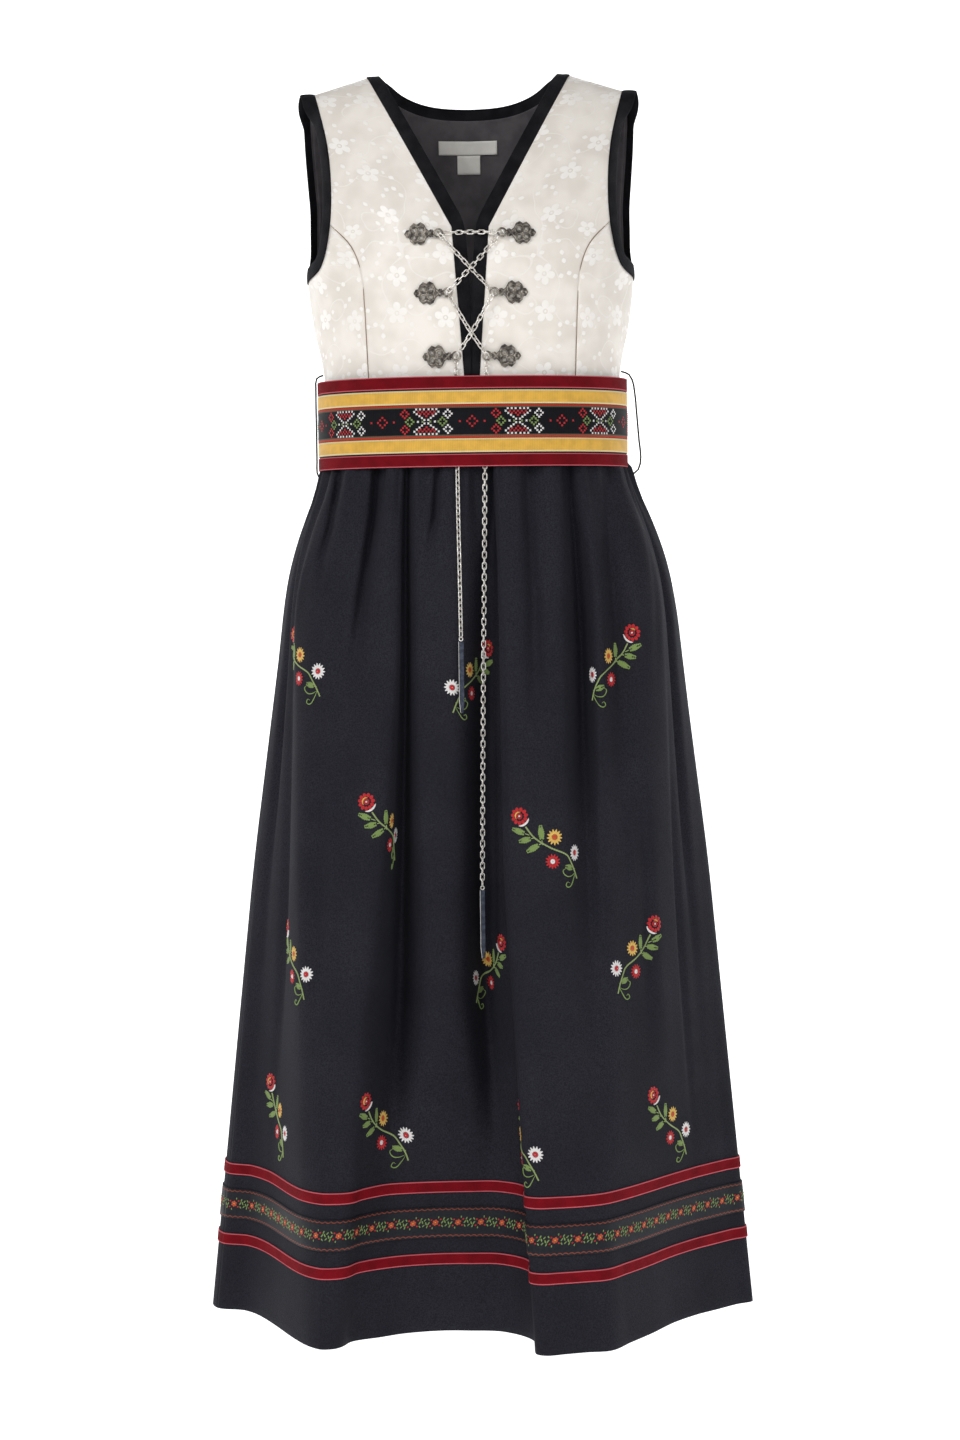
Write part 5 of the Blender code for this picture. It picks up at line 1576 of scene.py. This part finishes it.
def settle(bm, surface):
    """Carry a flat drawing of stitches on to the cloth."""
    bm.normal_update()
    bmesh.ops.reverse_faces(bm, faces=[face for face in bm.faces if face.normal.z < 0])
    anchor = bm.verts.layers.float["anchor"]
    points = np.array([vertex.co for vertex in bm.verts])
    columns = np.array([vertex[anchor] for vertex in bm.verts])
    for vertex, place in zip(bm.verts, surface(points, columns)):
        vertex.co = place


def build_hem_flowers(skirt):
    """Row of small woven flowers and leaves along the middle of the hem ribbon."""
    middle = sum(WOVEN_RIBBON) / 2
    reach = skirt.round[int(np.argmin(np.abs(skirt.heights - middle)))]
    drawing = new_stitches()
    for index in range(HEM_PETALS):
        turn = math.tau * index / HEM_PETALS + 0.4
        place = round_place((0.0, 0.0), HEM_PETAL_OUT * MM, turn)
        pad(drawing, ORANGE, place, turn, 2.9 * MM, 2.6 * MM, 0.0007)
    pad(drawing, YELLOW, (0.0, 0.0), 0.0, 1.6 * MM, 1.6 * MM, 0.0011)
    for x, up, turn, long, wide, colour in HEM_SPRAY:
        for side in (-1, 1):
            pad(drawing, colour, (side * x * MM, side * up * MM), math.radians(turn), long * MM, wide * MM,
                0.0006, lean=0.2 * side, sides=6)
    repeat = to_mesh(drawing, "drawing")
    for face, label in FACES:
        start, stop = (reach[place] for place in skirt.span(face))
        bm = new_stitches()
        repeats = round((stop - start) / (HEM_REPEAT * MM))
        for index in range(repeats):
            stamp(bm, repeat, between(start, stop, (index + 0.5) / repeats), middle)
        settle(bm, skirt.carry(GAP + RIBBON))
        keep_stitches(bm, f"hem_flowers_{label}")


def belt_point(share, z, offset):
    """Point of the belt, from its inner end at the back round to its outer end."""
    angle = -math.pi + share * (math.tau + BELT_OVERLAP)
    lift = BELT_LIFT * smooth_step((angle - math.pi + BELT_LIFT_START) / BELT_LIFT_SPAN)
    power = 2 / ROUNDNESS
    out = offset + lift
    sine, cosine = math.sin(angle), math.cos(angle)
    depth = BELT_FRONT if cosine > 0 else BELT_BACK
    return Vector((
        math.copysign((BELT_HALF + out) * abs(sine) ** power, sine),
        -math.copysign((depth + out) * abs(cosine) ** power, cosine),
        z,
    ))


def belt_strip(name, node, finish, bottom, top, rows, offset, thickness, under):
    points = spread(BELT_COLUMNS, rows, lambda across, along: belt_point(
        across / BELT_COLUMNS, between(bottom, top, along / rows), offset))
    sew(name, node, points, finish, thickness, None, "folded", [under])


def build_belt():
    belt_strip("belt_webbing", "belt_band", "belt_web", BELT_BOTTOM_Z, BELT_TOP_Z, BELT_ROWS,
               BELT_BAND, BELT_BAND, "bodice_front_left")
    lies = BELT_BAND + GAP + BELT_STRIPE
    for name, start, end, finish in STRIPES:
        belt_strip(name + "_stripe", name, finish, BELT_TOP_Z - end * STRIPE_SCALE,
                   BELT_TOP_Z - start * STRIPE_SCALE, STRIPE_ROWS, lies, BELT_STRIPE, "belt_band")
    build_counted_stitches(lies)
    for name in ("belt_loop_left", "belt_loop_right"):
        refinish(name, "cord")


def refinish(node, finish):
    """Give a solid of the part its finished material."""
    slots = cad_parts[node].data.materials
    slots.clear()
    slots.append(FINISHES[finish])


def cross(bm, colour, x, z):
    """One cross stitch."""
    for turn in (math.pi / 4, -math.pi / 4):
        pad(bm, colour, (x, z), turn, CROSS * MM, CROSS_WIDE * MM, 0.0006, sides=6)


def count_motif(stitches):
    """Flat drawing of one counted figure, its stitches given in steps of the count."""
    bm = new_stitches()
    for x, up, colour in stitches:
        cross(bm, colour, x * COUNT_STEP * MM, up * COUNT_STEP * MM)
    return to_mesh(bm, "drawing")


def build_counted_stitches(lies):
    """Hearts, diamonds and dots counted over the woven stripe, all round the belt."""
    route = spread(BELT_COLUMNS, 0, lambda across, along: belt_point(
        across / BELT_COLUMNS, 0.0, lies))[:, 0]
    reach = lengths(route[:, None], 0)[:, 0]
    front = np.interp(math.pi / (math.tau + BELT_OVERLAP) * BELT_COLUMNS, np.arange(len(reach)), reach)
    along = np.gradient(route, axis=0)
    normal = np.stack([along[:, 1], -along[:, 0], along[:, 2] * 0], axis=1)
    normal /= np.linalg.norm(normal, axis=1, keepdims=True)
    stitches = [(side * x, flip * up, colour) for x, up, colour in HEART_STITCHES
                for side in ((-1, 1) if x else (1,)) for flip in ((-1, 1) if up else (1,))]
    stitches += [(x + aside, up + high, colour) for x, up, colour in SIDE_DIAMONDS for aside, high in DIAMOND]
    heart = count_motif(stitches)
    dots = count_motif([(x, up, RED) for x, up in BETWEEN_DOTS])
    bm = new_stitches()
    middle = (BELT_TOP_Z + BELT_BOTTOM_Z) / 2
    for index in range(-16, 18):
        figure, clear = (dots, DOTS_CLEAR) if index % 2 else (heart, HEART_CLEAR)
        place = front + (HEART_AT + index * BELT_REPEAT / 2) * MM
        if clear < place < reach[-1] - clear:
            stamp(bm, figure, place, middle)

    def surface(points, columns):
        found = np.zeros_like(points)
        for axis in range(2):
            found[:, axis] = np.interp(points[:, 0], reach, route[:, axis])
            found[:, axis] += np.interp(points[:, 0], reach, normal[:, axis]) * points[:, 2]
        found[:, 2] = points[:, 1]
        return found

    settle(bm, surface)
    keep_stitches(bm, "belt_hearts")


def wire(bm, points, thickness):
    """Round wire along a closed or open run of points in front of the bodice."""
    last = len(points) - 1
    closed = (points[0] - points[last]).length < JOINED
    stations = []
    for station, point in enumerate(points):
        before = points[station - 1] if station else points[last - 1 if closed else 0]
        after = points[station + 1] if station < last else points[1 if closed else last]
        along = (after - before).normalized()
        side = along.cross(Vector((0.0, -1.0, 0.0))).normalized()
        stations.append((point, side, side.cross(along)))
    tube(bm, stations, thickness)


def build_clasps():
    """Silver clasps: the cast plate of the part, with wires, knot and beads on it."""
    for name, side, height, ring_x in CLASPS:
        refinish(name, "silver_dark")

        def at(out, up, lift=0.0):
            rise = CLASP_RISE * (1 - smooth_step((out - NECK_START) / (NECK_END - NECK_START)))
            return front_point(side * (ring_x + out * MM), height + up * MM, (CLASP_TOP + rise + lift) * MM)

        bm = bmesh.new()
        thick = FILIGREE_WIRE * MM
        wire(bm, [at(*place, 0.1) for place in arc((0.0, 0.0), CLASP_RING, 0, 360, 20)], 0.65 * MM)
        wire(bm, [at(*place, 0.1) for place in arc((ROSETTE_X, 0.0), ROSETTE_HOLE, 0, 360, 10)], thick)
        for start in range(45, 360, 90):
            middle = round_place((ROSETTE_X, 0.0), LOBE_OUT, math.radians(start))
            wire(bm, [at(*place, 0.1) for place in arc(middle, LOBE, start - 95, start + 95, 10)], 0.6 * MM)
        for turn in TEARDROP_ANGLES:
            cosine, sine = math.cos(math.radians(turn)), math.sin(math.radians(turn))
            drop = [(4.7 + 2.6 * math.cos(angle), 1.9 * math.sin(angle) * (1 - 0.35 * math.cos(angle)))
                    for angle in np.linspace(0, math.tau, 13)]
            wire(bm, [at(ROSETTE_X + x * cosine - y * sine, x * sine + y * cosine, 0.2) for x, y in drop],
                 thick)
        for slant in (-1, 1):
            wire(bm, [at(5.0 + 5.6 * share, slant * 3.0 * (1 - 2 * share), 0.1)
                      for share in np.linspace(0, 1, 7)], 0.7 * MM)
        for out, up, size in CLASP_BEADS:
            bead = bmesh.ops.create_uvsphere(bm, u_segments=12, v_segments=8, radius=size * MM)
            bmesh.ops.translate(bm, verts=bead["verts"], vec=at(out, up))
        bmesh.ops.recalc_face_normals(bm, faces=bm.faces[:])
        keep(bm, name + "_filigree", ["silver_worn"])


def build_labels():
    lies = WALL + GAP + LINING + LABEL_REST
    for name, middle, half, top, bottom in LABELS:
        def surface(across, along):
            z = between(bottom, top, along / LABEL_ROWS)
            x = middle + half * (2 * across / LABEL_COLUMNS - 1)
            return body_point(BACK, body_angle(x, z), z, lies + LABEL)
        sew(name + "_cloth", name, spread(LABEL_COLUMNS, LABEL_ROWS, surface), "label", LABEL, None, "laid",
            ["lining_back"], outwards=-1)


def main():
    make_camera()
    make_finishes()
    build_chain()
    make_studio()
    build_bodice()
    build_bindings()
    build_labels()
    skirt = SkirtCloth()
    build_skirt(skirt)
    build_embroidery(skirt)
    build_hem_flowers(skirt)
    build_belt()
    build_clasps()


main()
